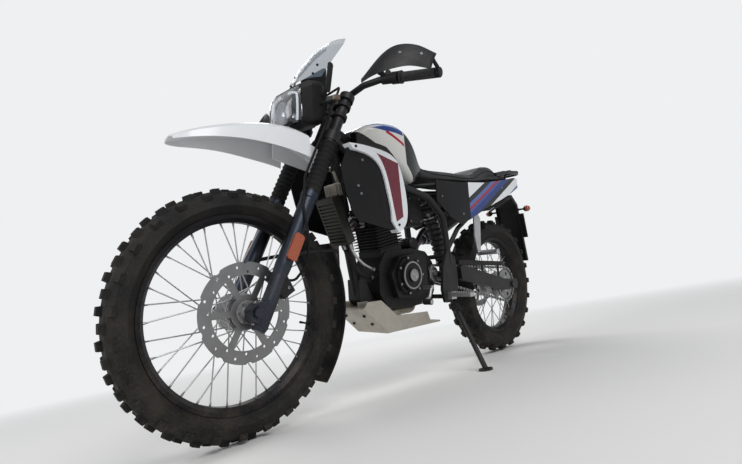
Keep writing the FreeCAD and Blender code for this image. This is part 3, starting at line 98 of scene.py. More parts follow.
def stand(side, top, back, at):
    """A matrix from the directions of a thing's own axes in the room, and its place."""
    return Matrix([*np.stack([side, top, back, at], 1).tolist(), (0, 0, 0, 1)])


print("lean in degrees:", round(math.degrees(math.asin(UP[1])), 2))

# %% [markdown]
# ## Camera
# The photograph was taken low, close to the front wheel and a little to its left, with a wide phone lens. The wheels'
# ellipses fix such a view, so the place and the two directions below are written along the machine's own axes.

# %% Camera
PHOTO_WIDTH, FOCAL_PIXELS, SENSOR = 742, 440.2, 36.0
CAMERA_AT = (2035.8, 1143.4, 442.0)
CAMERA_LOOKS = np.array([-0.71696, -0.69211, 0.08345])
CAMERA_TOP = np.array([0.01417, 0.10521, 0.99435])
scene = bpy.context.scene
lens = bpy.data.cameras.new("photo_lens")
lens.sensor_width, lens.lens = SENSOR, SENSOR * FOCAL_PIXELS / PHOTO_WIDTH
lens.clip_start, lens.clip_end = 0.05, 200
camera = bpy.data.objects.new("photo_camera", lens)
scene.collection.objects.link(camera)
looks = CAMERA_LOOKS @ AXES
right = np.cross(looks, CAMERA_TOP @ AXES)
camera.matrix_world = stand(right, np.cross(right, looks), -looks, place(CAMERA_AT))
scene.camera = camera
print("lens in mm:", round(lens.lens, 1))

# %% [markdown]
# ## Shader maths as Python
# A material is a small calculation at each point of a surface. Instead of wiring Math nodes by hand, a socket is
# wrapped in a class whose operators add those nodes, so `1 - mask * 0.5` reads as it does on paper.

# %% Sockets that do arithmetic


class Value:
    """A socket that takes part in Python expressions: each operator adds one Math node."""

    def __init__(self, kit, socket):
        self.kit, self.socket = kit, socket

    def __add__(self, other):
        return self.kit.maths("ADD", self, other)

    def __sub__(self, other):
        return self.kit.maths("SUBTRACT", self, other)

    def __rsub__(self, other):
        return self.kit.maths("SUBTRACT", other, self)

    def __mul__(self, other):
        return self.kit.maths("MULTIPLY", self, other)

    def __truediv__(self, other):
        return self.kit.maths("DIVIDE", self, other)

    def __abs__(self):
        return self.kit.maths("ABSOLUTE", self)

    __radd__, __rmul__ = __add__, __mul__


print("methods of a value:", *[name.strip("_") for name, made in vars(Value).items() if callable(made)])

# %% Nodes of one material


class Nodes:
    """The node tree of a material, or of the surroundings, and the few ways of adding to it."""

    def __init__(self, name, world=None):
        self.owner = world or bpy.data.materials.new(name)
        self.owner.use_nodes = True
        self.tree = self.owner.node_tree
        self.tree.nodes.clear()

    def add(self, kind, sockets=(), out=0, stops=(), blend="LINEAR", **settings):
        """Adds a node of a kind: its settings first, then the values or links of its sockets, by name or number."""
        node = self.tree.nodes.new("ShaderNode" + kind)
        for name, setting in settings.items():
            setattr(node, name, setting)
        if stops:
            node.color_ramp.interpolation = blend
            elements = node.color_ramp.elements
            while len(elements) < len(stops):
                elements.new(0.5)
            for element, (at, colour) in zip(elements, stops):
                element.position, element.color = at, (*colour, 1)
        for name, value in dict(sockets).items():
            self.feed(node.inputs[name], value)
        return Value(self, node.outputs[out]) if node.outputs else None

    def feed(self, socket, value):
        """Links a socket to a Value, or sets a plain number, vector or colour on it."""
        if isinstance(value, Value):
            self.tree.links.new(value.socket, socket)
        else:
            socket.default_value = (*value, 1) if socket.type == "RGBA" else value

    def maths(self, operation, *values):
        """One Math node."""
        return self.add("Math", enumerate(values), operation=operation)

    def least(self, *values):
        """The least of some values."""
        return reduce(lambda a, b: self.maths("MINIMUM", a, b), values)

    def most(self, *values):
        """The greatest of some values."""
        return reduce(lambda a, b: self.maths("MAXIMUM", a, b), values)

    def soft_step(self, value, low, high):
        """0 below low, 1 above high and a smooth rise between them."""
        return self.add("MapRange", {0: value, 1: low, 2: high}, interpolation_type="SMOOTHSTEP")

    def over(self, value, edge=0.0, soft=0.6):
        """1 where a value is over an edge and 0 where it is under it, with a border as sharp as printed film."""
        return self.soft_step(value, edge - soft, edge + soft)

    def between(self, value, low, high):
        """1 where a value lies between two edges."""
        return self.least(self.over(value, low), 1 - self.over(value, high))

    def mix(self, share, low, high):
        """From colour low to colour high as share goes from 0 to 1."""
        return self.add("Mix", {0: share, 6: low, 7: high}, out=2, data_type="RGBA")


print("ways of adding nodes:", len([name for name in vars(Nodes) if name[0] != "_"]))

# %% [markdown]
# ## Where a point is on the machine
# Dust, wear and stripes belong to places on the machine. So a finish can ask how far ahead, left and up its point
# lies, in the machine's millimetres, and mix noise and colours by that. The answer stays when a joint moves.

# %% Finishes that know the machine's axes
DUST = (0.34, 0.27, 0.2)


class Finish(Nodes):
    """The nodes of one surface, with its place, noise, bumps and dust."""

    def where(self):
        """The point on the surface, in metres in the room, before any joint moves."""
        return self.add("TexCoord", out="Object")

    def dot(self, vector, axis):
        """How far a vector reaches along a fixed one."""
        return self.add("VectorMath", {0: vector, 1: tuple(axis)}, out="Value", operation="DOT_PRODUCT")

    def along(self, axis):
        """How far the point lies along a direction, in the machine's millimetres from under the rear axle."""
        return self.dot(self.where(), axis * 1000) - float(axis @ GROUND_POINT) * 1000

    def machine(self, *axes):
        """The point's millimetres ahead, left and up, or along the axes that are named."""
        return [self.along(axis) for axis in axes or AXES]

    def noise(self, scale, detail=3.0, rough=0.5, stretch=None):
        """Smooth noise around 0.5, with scale in waves for each metre. stretch scales the axes, for streaks."""
        at = self.where()
        if stretch:
            at = self.add("VectorMath", {0: at, 1: stretch}, operation="MULTIPLY")
        return self.add("TexNoise", {"Vector": at, "Scale": scale, "Detail": detail, "Roughness": rough})

    def patches(self, scale, detail, rough, low, high, stretch=None):
        """Noise as patches: 0 where it is under low and 1 where it is over high."""
        return self.soft_step(self.noise(scale, detail, rough, stretch), low, high)

    def cells(self, scale):
        """Distance to the nearest cell centre, for grains."""
        return self.add("TexVoronoi", {"Vector": self.where(), "Scale": scale}, feature="F1")

    def bump(self, height, depth, strength=1.0, after=None):
        """A surface normal from a height between 0 and 1, depth in metres. after is a coarser bump's normal."""
        sockets = {"Strength": strength, "Distance": depth, "Height": height}
        return self.add("Bump", sockets if after is None else {**sockets, "Normal": after})

    def dust(self, amount, low=60.0, high=620.0):
        """A share of pale trail dust: more near the ground, in patches and specks."""
        near = 1 - self.soft_step(self.along(UP), low, high)
        patches = self.patches(9, 6, 0.62, 0.36, 0.72)
        specks = self.patches(160, 3, 0.6, 0.48, 0.68)
        return (near * 0.75 + 0.12) * (patches * 0.7 + specks * 0.35) * amount

    def surface(self, body, dust=None, **sockets):
        """Ends the material with one Principled shader, its colour under a share of dust, and gives it back."""
        colour = body if dust is None else self.mix(dust, body, DUST)
        named = {name.replace("_", " "): value for name, value in sockets.items()}
        self.add("OutputMaterial", {"Surface": self.add("BsdfPrincipled", {"Base Color": colour, **named})})
        return self.owner


def shade(colour, factor, lift=0.0):
    """The same colour, darker or lighter."""
    return tuple(c * factor + lift for c in colour)


print("shader tools:", len([name for name in vars(Finish) if name[0] != "_"]))

# %% [markdown]
# ## Floor and light
# A pale floor and a pale surrounding keep the eye on the machine. A studio floor curves up into its backdrop, so no
# horizon shows. Here it stays flat and turns, a few metres out, into a plain glow of the backdrop's own tone, which
# looks the same and keeps the shadow near the machine. Two large soft lamps give the paint long highlights, a third
# lights its rear edge, and the surrounding light stays plain so that each colour shows about as it is written.

# %% Floor, surroundings and lamps
FLOOR_TONE, FLOOR_PATCH = (0.74, 0.73, 0.71), (0.70, 0.69, 0.67)
BACKDROP_TONE, SKY_TONE = (0.86, 0.87, 0.88), (0.42, 0.44, 0.46)
FLOOR_REACH, GLOW_STARTS, GLOW_FULL = 60.0, 1.6, 5.5

scene.view_settings.view_transform = "Standard"
corners = [(x * FLOOR_REACH, y * FLOOR_REACH, 0) for x, y in ((-1, -1), (1, -1), (1, 1), (-1, 1))]
ground = bpy.data.meshes.new("studio_floor")
ground.from_pydata(corners, [], [(0, 1, 2, 3)])
floor = bpy.data.objects.new("studio_floor", ground)
scene.collection.objects.link(floor)

f = Finish("floor_finish")
matt = f.add("BsdfPrincipled", {"Base Color": f.mix(f.noise(3, 4) * 0.15, FLOOR_TONE, FLOOR_PATCH), "Roughness": 0.85})
glow = f.add("Emission", {"Color": BACKDROP_TONE, "Strength": 1.0})
away = f.add("VectorMath", {0: f.where()}, out="Value", operation="LENGTH")
far = f.soft_step(away, GLOW_STARTS, GLOW_FULL)
f.add("OutputMaterial", {"Surface": f.add("MixShader", {0: far, 1: matt, 2: glow})})
ground.materials.append(f.owner)

scene.world = bpy.data.worlds.new("studio")
sky = Finish("studio", scene.world)
seen = sky.most(*[sky.add("LightPath", out=ray) for ray in ("Is Camera Ray", "Is Transmission Ray")])
sky.add("OutputWorld", {"Surface": sky.add("Background", {"Color": sky.mix(seen, SKY_TONE, BACKDROP_TONE)})})


def softbox(name, at, towards, size, watts):
    """A square lamp at a place in the room, turned to a point."""
    light = bpy.data.lights.new(name, "AREA")
    light.shape, light.size, light.energy = "SQUARE", size, watts
    lamp = bpy.data.objects.new(name, light)
    back = unit(np.subtract(at, towards))
    side = unit(np.cross([0, 0, 1], back))
    lamp.matrix_world = stand(side, np.cross(back, side), back, at)
    scene.collection.objects.link(lamp)
    print(name, "watts:", watts)


softbox("key_softbox", (1.2, 3.4, 3.6), (0, 0, 0.5), 2.6, 112)
softbox("fill_softbox", (3.8, -1.2, 2.4), (0.2, 0, 0.6), 2.4, 48)
softbox("rim_softbox", (-2.6, -2.8, 3.2), (0, 0, 0.6), 2.2, 84)

# %% [markdown]
# ## Painted and moulded body panels
# Body panels of such a machine are injection moulded plastic, either glossy and coloured or black with a fine grain.
# Gloss gets a faint waviness in its normal, fine rubbing marks in its roughness and a little dust. Black grained
# plastic has a pebbled bump a fraction of a millimetre deep, and it greys where it is handled. Stripes are printed
# film: each is where a sum of the distances ahead and up lies between two numbers.

# %% Gloss and grained plastic
# Near black surfaces show mostly what they mirror, so theirs is held low.
DARK_SHINE = 0.22


def gloss(name, colour, rough=0.2, dust=0.3, coat=0.3, shine=0.5, pattern=None):
    """A glossy moulded or painted panel. pattern turns the finish into its own colour."""
    f = Finish(name)
    drift = f.noise(5)
    worn = f.patches(420, 4, 0.7, 0.55, 0.8, (1, 1, 0.22))
    body = pattern(f) if pattern else f.mix(drift * 0.3, colour, shade(colour, 0.88))
    share = f.dust(dust)
    return f.surface(body, share, Roughness=share * 0.5 + worn * 0.12 + drift * 0.06 + rough, Coat_Weight=coat,
                     Normal=f.bump(f.noise(60, 2), 0.0006, 0.35), Coat_Roughness=0.08, Specular_IOR_Level=shine)


def grained(name, colour, rough=0.55, dust=0.2):
    """Black or grey plastic with a pebbled grain."""
    f = Finish(name)
    handled = f.patches(14, 5, 0.6, 0.45, 0.75)
    share = f.dust(dust)
    return f.surface(f.mix(handled * 0.5, colour, shade(colour, 1.8, 0.004)), share, Specular_IOR_Level=DARK_SHINE,
                     Roughness=rough + handled * -0.12 + share * 0.25, Normal=f.bump(f.cells(900), 0.00025, 0.6))


print("finishes so far:", len(bpy.data.materials))

# %% Stripes, and the panels' finishes
WHITE, PEARL, PEARL_PATCH = (0.72, 0.73, 0.75), (0.56, 0.555, 0.53), (0.50, 0.495, 0.47)
BLUE, PALE_BLUE = (0.012, 0.036, 0.18), (0.24, 0.31, 0.48)
RED, CRIMSON = (0.33, 0.008, 0.022), (0.13, 0.004, 0.018)
SMOKE, BLACK = (0.010, 0.011, 0.014), (0.005, 0.005, 0.006)


def tank_stripes(f):
    """A black tank with a pale spear-shaped cover on each side, a blue band along its top and a thin red line."""
    x, z = f.machine(AHEAD, UP)
    cover = f.mix(f.noise(5) * 0.3, PEARL, PEARL_PATCH)
    under = f.most(f.least(x * 0.9 + 97.4, x * 0.29 + 624.7), x * 0.8 + 162.2, x * 2.5 - 1467)
    behind = f.least(z - 67, z * 0.07 + 700.3)
    spear = f.least(f.over(z - under), f.over(x - behind))
    crest = z + abs(x - 862) * abs(x - 862) * 0.0007
    point = f.most(x - 868, 0.0) * 0.18
    span = f.between(x, 772, 940)
    blue = f.least(f.over(crest - point, 936), 1 - f.over(crest + point, 955), span)
    pale = f.least(f.between(crest, 955, 962), span)
    red = f.least(f.between(z - (x - 800) * 0.42, 903, 915), f.between(x, 768, 862), 1 - blue)
    return f.mix(red, f.mix(blue, f.mix(pale, f.mix(spear, BLACK, cover), PALE_BLUE), BLUE), RED)


def blade_panel(f):
    """The shroud's blade: a thin pale border round a long red panel that narrows towards its foot."""
    x, z = f.machine(AHEAD, UP)
    rise = f.most((z - 600) / 230, 0.0)
    front_edge = rise * 45 + f.maths("POWER", rise, 6.0) * 35 + 884
    inside = f.least(f.over(x - z * 0.05, 815), f.over(front_edge - x), f.over(z + x * 0.5, 1040),
                     1 - f.over(z - x * 0.21, 627.6))
    return f.mix(inside, WHITE, CRIMSON)


def tail_stripes(f):
    """Slanting bands on the tail: white, a dark wedge, blue with a thin red line, black, white and blue again.
    Faces that look towards the machine's middle are the moulding's black back."""
    x, y, z = f.machine()
    bands = f.add("ValToRGB", {0: (z + x * 0.55 - 640) / 360}, blend="CONSTANT", stops=[
        (0.0, (0.10, 0.11, 0.15)), (0.15, (0.12, 0.17, 0.30)), (0.28, WHITE), (0.40, BLACK), (0.475, BLUE),
        (0.56, (0.04, 0.08, 0.28)), (0.60, RED), (0.635, (0.08, 0.13, 0.34)), (0.69, SMOKE), (0.76, WHITE)])
    facing = f.dot(f.add("NewGeometry", out="Normal"), LEFT)
    return f.mix(f.over(facing * y, -10, 4), BLACK, bands)


white_body = gloss("white_body", WHITE, 0.26)
white_cover = gloss("white_cover", PEARL, 0.26, 0.2, 0.15, 0.35, tank_stripes)
blade = gloss("blade", WHITE, 0.24, pattern=blade_panel)
tail = gloss("tail", WHITE, 0.26, 0.2, 0.15, 0.35, tail_stripes)
side_cover = gloss("side_cover", BLACK, 0.36, 0.15, 0.0, DARK_SHINE)
shroud = gloss("shroud", BLACK, 0.40, 0.12, 0.0, DARK_SHINE)
plate_paint = gloss("plate_paint", (0.66, 0.66, 0.63), 0.35, 0.8)
black_plastic = grained("black_plastic", (0.006, 0.006, 0.007))
guard_plastic = grained("guard_plastic", (0.008, 0.008, 0.009), 0.45, 0.15)
print("finishes so far:", len(bpy.data.materials))

# %% [markdown]
# ## Rubber
# Tyre rubber is nearly black, dull and a little uneven. Dust from the trail stays in the gaps between the lugs and on
# the sidewalls, which have fine moulding rings. Rings are a wave of the distance from the wheel's axle. Grips have
# small diamonds, which two crossed waves give.

# %% Rubber finishes
RING_PITCH = 1.6


def rubber(name, tone=0.005, dust=0.1, axle=None):
    """Dull rubber; with an axle's place ahead and up, the sidewall has fine rings round it."""
    f = Finish(name)
    patches = f.patches(22, 6, 0.65, 0.35, 0.7)
    share = f.dust(dust, 0, 900)
    fine = f.bump(f.noise(700, 4, 0.6), 0.0004, 0.5)
    if axle:
        x, z = f.machine(AHEAD, UP)
        dx, dz = x - axle[0], z - axle[1]
        radius = f.maths("SQRT", dx * dx + dz * dz)
        fine = f.bump(f.maths("SINE", radius * RING_PITCH), 0.00035, 0.6, fine)
    return f.surface(f.mix(patches, (tone, tone, tone * 1.05), (tone * 2.1,) * 3), share, Normal=fine,
                     Roughness=patches * 0.1 + share * 0.15 + 0.68, Specular_IOR_Level=DARK_SHINE)


def grip_rubber():
    """Grip rubber with small diamond knurls along the bar."""
    f = Finish("grip_rubber")
    x, y, z = f.machine()
    knurl = f.maths("SINE", (y + x * 0.8 + z) * 1.6) * f.maths("SINE", (y - x * 0.8 - z) * 1.6)
    worn = f.patches(30, 4, 0.5, 0.4, 0.7)
    return f.surface(f.mix(worn, (0.012,) * 3, (0.03,) * 3), Roughness=worn * 0.1 + 0.6,
                     Normal=f.bump(knurl, 0.0008, 0.8))


front_rubber = rubber("front_tyre_rubber", 0.007, 0.14, FRONT)
rear_rubber = rubber("rear_tyre_rubber", 0.007, 0.14, REAR)
gaiter_rubber = rubber("gaiter_rubber", dust=0.08)
hose_rubber = rubber("hose_rubber")
grips_finish = grip_rubber()
print("finishes so far:", len(bpy.data.materials))

# %% [markdown]
# ## Metals
# Turned and ground steel has fine streaks, cast alloy has a sandy skin, anodised rims are smooth and dark, and the
# header's steel is tinted straw and brown by heat. Each is metallic, and its streaks or grain live in the roughness
# and the bump, where light finds them.

# %% Bare and cast metals


def metal(name, colour, rough=0.3, streak=(1, 1, 1), scale=300, depth=0.00012, dust=0.2, shift=0.22):
    """Bare or anodised metal with streaks: the noise is stretched by the three numbers of streak."""
    f = Finish(name)
    lines = f.noise(scale, 4, 0.6, streak)
    stains = f.patches(12, 5, 0.6, 0.42, 0.78)
    share = f.dust(dust)
    return f.surface(f.mix(stains * 0.5 + lines * 0.3, colour, shade(colour, 0.62)), share, Metallic=1 - share * 0.9,
                     Roughness=lines * shift + stains * 0.1 + share * 0.3 + rough, Normal=f.bump(lines, depth, 0.5))


def cast(name, colour, rough=0.42, dust=0.15):
    """Sand or die cast alloy, painted or bare, with a fine pitted skin."""
    f = Finish(name)
    stains = f.patches(16, 6, 0.6, 0.4, 0.75)
    share = f.dust(dust)
    return f.surface(f.mix(stains * 0.6, colour, shade(colour, 1.7, 0.006)), share, Metallic=0.75 - share * 0.6,
                     Roughness=stains * 0.14 + share * 0.3 + rough, Normal=f.bump(f.noise(520, 5, 0.65), 0.0004, 0.5))


alloy = metal("alloy", (0.56, 0.56, 0.57), 0.26, dust=0.35)
bare_steel = metal("bare_steel", (0.26, 0.26, 0.265), 0.24, (1, 0.15, 1), 500)
black_rim = metal("black_rim", (0.022, 0.022, 0.025))
slider = metal("slider_alloy", (0.045, 0.052, 0.068), 0.27, (1, 1, 0.08), 420)
bash_alloy = metal("bash_alloy", (0.56, 0.53, 0.47), 0.34, (0.12, 1, 1), 360, dust=0.8)
bolt_steel = metal("bolt_steel", (0.34, 0.34, 0.35), 0.25, (0.3, 1, 1), 700, 0.00006)
black_bolt = metal("black_bolt", (0.03, 0.03, 0.032), 0.34, (0.3, 1, 1), 700, 0.00006)
shield_steel = metal("shield_steel", (0.16, 0.16, 0.165), 0.42, (1, 0.2, 1), 500, dust=0.3)
chrome = metal("reflector_chrome", (0.34, 0.34, 0.35), 0.08, depth=0.00002, dust=0.0, shift=0.08)
engine_alloy = cast("engine_alloy", (0.014, 0.014, 0.015), 0.48)
cooler_alloy = cast("cooler_alloy", (0.045, 0.045, 0.038), 0.5)
bare_cast = cast("bare_cast", (0.40, 0.37, 0.32), 0.46, 0.3)
print("finishes so far:", len(bpy.data.materials))

# %% Powder coat and the header's steel


def satin_paint(name, colour, rough=0.42, dust=0.12):
    """Powder coat: a thick satin paint with an orange peel and a few chips to bare steel."""
    f = Finish(name)
    peel = f.noise(380, 2)
    chips = f.patches(90, 5, 0.7, 0.70, 0.73)
    share = f.dust(dust)
    coat = f.mix(f.noise(8), colour, shade(colour, 1.6))
    return f.surface(f.mix(chips * 0.7, coat, (0.25, 0.24, 0.23)), share, Metallic=chips * 0.6,
                     Roughness=peel * 0.1 + share * 0.35 + rough, Normal=f.bump(peel, 0.0002, 0.4),
                     Specular_IOR_Level=0.3)


def header_steel():
    """Stainless header: straw near the head, brown and grey further down, with soft bands."""
    f = Finish("header_steel")
    heat = f.soft_step(f.along(UP) + f.noise(7) * 120, 260, 640)
    body = f.add("ValToRGB", {0: heat}, stops=[(0.0, (0.30, 0.27, 0.24)), (0.45, (0.36, 0.28, 0.2)),
                                               (0.7, (0.26, 0.17, 0.12)), (1.0, (0.2, 0.17, 0.2))])
    fine = f.noise(420, 3, 0.6)
    share = f.dust(0.8)
    return f.surface(body, share, Metallic=1 - share * 0.8, Roughness=fine * 0.18 + share * 0.3 + 0.3,
                     Normal=f.bump(fine, 0.0001, 0.4))


black_steel = satin_paint("black_steel", (0.006, 0.006, 0.007))
muffler_steel = satin_paint("muffler_steel", (0.010, 0.010, 0.011), dust=0.15)
spring_steel = satin_paint("spring_steel", (0.016, 0.016, 0.018), 0.3)
header = header_steel()
print("finishes so far:", len(bpy.data.materials))

# %% [markdown]
# ## Lenses
# Amber and red lenses are coloured clear plastic with small moulded prisms, and the lamp's glass and the screen are
# clear. A prism pattern is a bump of two crossed waves under a smooth coat. The screen is a tinted sheet that hides
# only a share of what is behind it, so it needs no refraction.

# %% Lens finishes
WIPES = (260, 4, 0.7, 0.6, 0.85, (1, 0.2, 1))


def prism_lens(name, colour):
    """Coloured clear plastic with crossed moulded ribs."""
    f = Finish(name)
    x, y, z = f.machine()
    ribs = f.maths("SINE", (y + x) * 1.4) + f.maths("SINE", (z - x * 0.3) * 1.4)
    cloud = f.noise(30)
    return f.surface(f.mix(cloud * 0.4, colour, shade(colour, 0.7)), Roughness=cloud * 0.08 + 0.1,
                     Normal=f.bump(ribs, 0.0006, 0.6), Coat_Weight=0.6, Coat_Roughness=0.03)


def clear(name, colour):
    """Clear moulded plastic, with fine wiping marks in its gloss."""
    f = Finish(name)
    return f.surface(f.mix(f.noise(6) * 0.2, colour, shade(colour, 0.9)), Roughness=f.patches(*WIPES) * 0.06 + 0.02,
                     Transmission_Weight=1.0, IOR=1.49)


def smoked_sheet(name, colour, cover):
    """Tinted clear sheet: a glossy skin that hides only a share of what is behind it, more where it is scratched."""
    f = Finish(name)
    marks, haze = f.patches(*WIPES), f.noise(6)
    return f.surface(f.mix(haze * 0.4, colour, shade(colour, 0.7)), Roughness=marks * 0.08 + 0.14,
                     Alpha=haze * 0.08 + marks * 0.05 + cover, Specular_IOR_Level=0.25)


def small_lamp(name, colour):
    """A black moulded lamp body whose outer end is the coloured lens: the lens starts 148 mm from the middle."""
    f = Finish(name)
    y, z = f.machine(LEFT, UP)
    lens = f.soft_step(abs(y), 147, 148)
    cloud = f.noise(30)
    return f.surface(f.mix(lens, (0.006, 0.006, 0.007), f.mix(cloud * 0.4, colour, DUST)),
                     Roughness=0.5 - lens * 0.36 + cloud * 0.08,
                     Normal=f.bump(f.maths("SINE", z * 1.6) * lens, 0.0004, 0.5))


amber_lens = prism_lens("amber_lens", (0.36, 0.06, 0.01))
red_lens = prism_lens("red_lens", (0.34, 0.008, 0.01))
signal_lamp = small_lamp("signal_lamp", (0.06, 0.035, 0.022))
clear_lens = clear("clear_lens", (0.93, 0.95, 0.97))
clear_screen = smoked_sheet("clear_screen", (0.13, 0.17, 0.21), 0.36)
print("finishes so far:", len(bpy.data.materials))

# %% [markdown]
# ## Dress the CAD nodes
# Most CAD nodes already have their real shape, so they stay and only get a finish in their material slots.

# %% Finishes on the nodes
DRESS = [
    (front_rubber, "front_tyre"), (rear_rubber, "rear_tyre"), (black_rim, "front_rim rear_rim"),
    (alloy, "front_hub rear_hub pegs_and_pedals"), (slider, "fork_legs"), (gaiter_rubber, "fork_gaiters"),
    (bare_steel, "front_disc rear_disc rear_sprocket damper chain front_sprocket"), (spring_steel, "shock_spring"),
    (black_steel, "yokes_and_tubes handlebar front_caliper frame swingarm rear_caliper rack side_stand"),
    (black_plastic, "bar_controls front_hugger headlamp_shell chain_guard airbox rear_fender seat"),
    (grips_finish, "grips"), (guard_plastic, "hand_guards"), (white_body, "front_fender"), (header, "exhaust_pipe"),
    (clear_lens, "headlamp_lens"), (clear_screen, "windscreen"), (signal_lamp, "front_indicators"),
    (amber_lens, "reflectors"), (red_lens, "tail_lamp"), (hose_rubber, "front_brake_hose"),
    (engine_alloy, "engine_cases cylinder_and_head"), (cooler_alloy, "oil_cooler"), (muffler_steel, "muffler"),
    (bash_alloy, "bash_plate"), (white_cover, "fuel_tank"), (shroud, "tank_shrouds"), (blade, "shroud_blades"),
    (side_cover, "side_panels"), (tail, "tail_cowl"),
]
dressed = {name: finish for finish, names in DRESS for name in names.split()}
for name, node in NODES.items():
    node.data.materials.clear()
    node.data.materials.append(dressed[name])
print("dressed:", len(dressed))

# %% [markdown]
# ## Surfaces as arrays
# Each new piece below is a grid of points that a formula gives, row by row along the piece and column by column round
# it. Two tools cover nearly all of them: a profile turned about an axis, as a lathe does, and a section carried along
# a path. A third copies a small shape to many places at once, for bolts and stitches.

# %% Grids and turned shapes


def across_frame(axis):
    """Two directions square to an axis and to each other, so that side, other and axis are right-handed."""
    axis = unit(axis)
    guide = np.where(np.abs(axis[..., 2:]) > 0.9, [1.0, 0, 0], [0, 0, 1.0])
    side = unit(np.cross(guide, axis))
    return side, np.cross(axis, side)


def turn_of(count, start=0.0):
    """Evenly spaced angles once round, as cosines and sines."""
    angle = start + np.arange(count) * 2 * math.pi / count
    return np.cos(angle)[:, None], np.sin(angle)[:, None]


def shell_of(grid, loop=False):
    """Faces of a grid whose columns close round: quads between neighbours, and a fan to a middle point at each end.
    loop joins the last row to the first instead. Gives points, quads and triangles, turned outwards."""
    number = np.arange(grid[..., 0].size).reshape(grid.shape[:2])
    below, above = (number, np.roll(number, -1, 0)) if loop else (number[:-1], number[1:])
    quads = np.stack([below, np.roll(below, -1, 1), np.roll(above, -1, 1), above], -1).reshape(-1, 4)
    points, triangles = grid.reshape(-1, 3), np.zeros((0, 3), int)
    if not loop:
        first, last = number[0], number[-1]
        triangles = np.vstack([np.stack([np.roll(first, -1), first, np.full(len(first), number.size)], -1),
                               np.stack([last, np.roll(last, -1), np.full(len(last), number.size + 1)], -1)])
        points = np.vstack([points, grid[0].mean(0), grid[-1].mean(0)])
    centred = points - points.mean(0)
    (a, b, c, d), (e, f, g) = centred[quads].swapaxes(0, 1), centred[triangles].swapaxes(0, 1)
    volume = (a * (np.cross(b, c) + np.cross(c, d))).sum() + (e * np.cross(f, g)).sum()
    return (points, quads[:, ::-1], triangles[:, ::-1]) if volume < 0 else (points, quads, triangles)


def lathe(profile, at=(0, 0, 0), axis=(0, 0, 1), sides=48, loop=False):
    """A profile of (radius, distance along) pairs turned about an axis: at + distance * axis + radius * (cos, sin)."""
    radius, distance = np.asarray(profile, float).T[..., None, None]
    side, other = across_frame(axis)
    cosine, sine = turn_of(sides)
    return shell_of(np.asarray(at, float) + distance * unit(axis) + radius * (cosine * side + sine * other), loop)


def ring(profile, at, axis, sides=56):
    """A closed cross-section turned about an axis: the last row joins the first."""
    return lathe(profile, at, axis, sides, True)


def hoop(radius, other, start, stop, at, axis, sides=56):
    """A flat hoop: a rectangle between two radii and two distances, turned about an axis."""
    return ring([(radius, start), (radius, stop), (other, stop), (other, start)], at, axis, sides)


print("points of a turned cone:", len(lathe([(1, 0), (0.5, 1)])[0]))

# %% Curves, swept shapes and plates


def curve(points, count=40):
    """Points evenly along a smooth curve through the given ones: a Catmull-Rom spline, worked out for all at once."""
    p = np.asarray(points, float)
    p = np.vstack([2 * p[0] - p[1], p, 2 * p[-1] - p[-2]])
    t = np.linspace(0, len(p) - 3 - 1e-9, count)
    i = t.astype(int)
    s = (t - i)[:, None]
    a, b, c, d = p[i], p[i + 1], p[i + 2], p[i + 3]
    return 0.5 * (2 * b + (c - a) * s + (2 * a - 5 * b + 4 * c - d) * s ** 2 + (3 * b - a - 3 * c + d) * s ** 3)


def sweep(path, radius, sides=14, flat=1.0, guide=(0, 1, 0)):
    """A round or flattened section carried along a path: each ring stands square to the path there."""
    path = np.asarray(path, float)
    tangent = unit(np.gradient(path, axis=0))
    side = unit(np.cross(tangent, guide))
    other = np.cross(side, tangent)
    cosine, sine = turn_of(sides)
    return shell_of(path[:, None] + radius * (cosine * side[:, None] + flat * sine * other[:, None]))


def rounded(half_u, half_v, corner, count=48):
    """A rounded rectangle's outline: each corner's centre plus a quarter circle, as the angle goes round."""
    cosine, sine = turn_of(count, math.pi / count)
    return np.hstack([np.sign(cosine) * (half_u - corner) + corner * cosine,
                      np.sign(sine) * (half_v - corner) + corner * sine])


def slab(at, u, v, half_u, half_v, corner, thick, edge=0.8, count=48):
    """A plate with rounded corners and an eased top edge: outlines at rising heights over a point, the last inset."""
    u, v = unit(u), unit(v)
    inset = (0.0, 0.0, edge * 0.3, edge)
    height = np.array([0.0, thick - edge, thick - edge * 0.3, thick])[:, None, None]
    loops = np.stack([rounded(half_u - i, half_v - i, max(corner - i, 0.1), count) for i in inset])
    return shell_of(np.asarray(at, float) + loops[..., :1] * u + loops[..., 1:] * v + height * np.cross(u, v))


print("points of a plate:", len(slab((0, 0, 0), (1, 0, 0), (0, 1, 0), 9, 6, 2, 1)[0]))

# %% Many copies of a small shape


def copies(shape, places, axes, size=1.0):
    """A small shape, drawn about the origin with its axis along z, copied to every place and turned to every axis."""
    points, quads, triangles = shape
    places = np.atleast_2d(np.asarray(places, float))
    axes = unit(np.broadcast_to(np.asarray(axes, float), places.shape))
    turned = np.stack([*across_frame(axes), axes], 1)
    many = places[:, None] + np.einsum("pk,nkj->npj", points * size, turned)
    step = (np.arange(len(places)) * len(points))[:, None, None]
    return many.reshape(-1, 3), (quads + step).reshape(-1, 4), (triangles + step).reshape(-1, 3)


BOLT_HEAD = lathe([(1, -0.4), (1, 0.55), (0.85, 0.75), (0.5, 0.75), (0.42, 0.35)], sides=12)
HEX_HEAD = lathe([(1.35, -0.3), (1.35, 0), (1.15, 0.02), (1.15, 0.7), (0.95, 0.85)], sides=6)
print("bolt head faces:", len(BOLT_HEAD[1]) + len(BOLT_HEAD[2]))
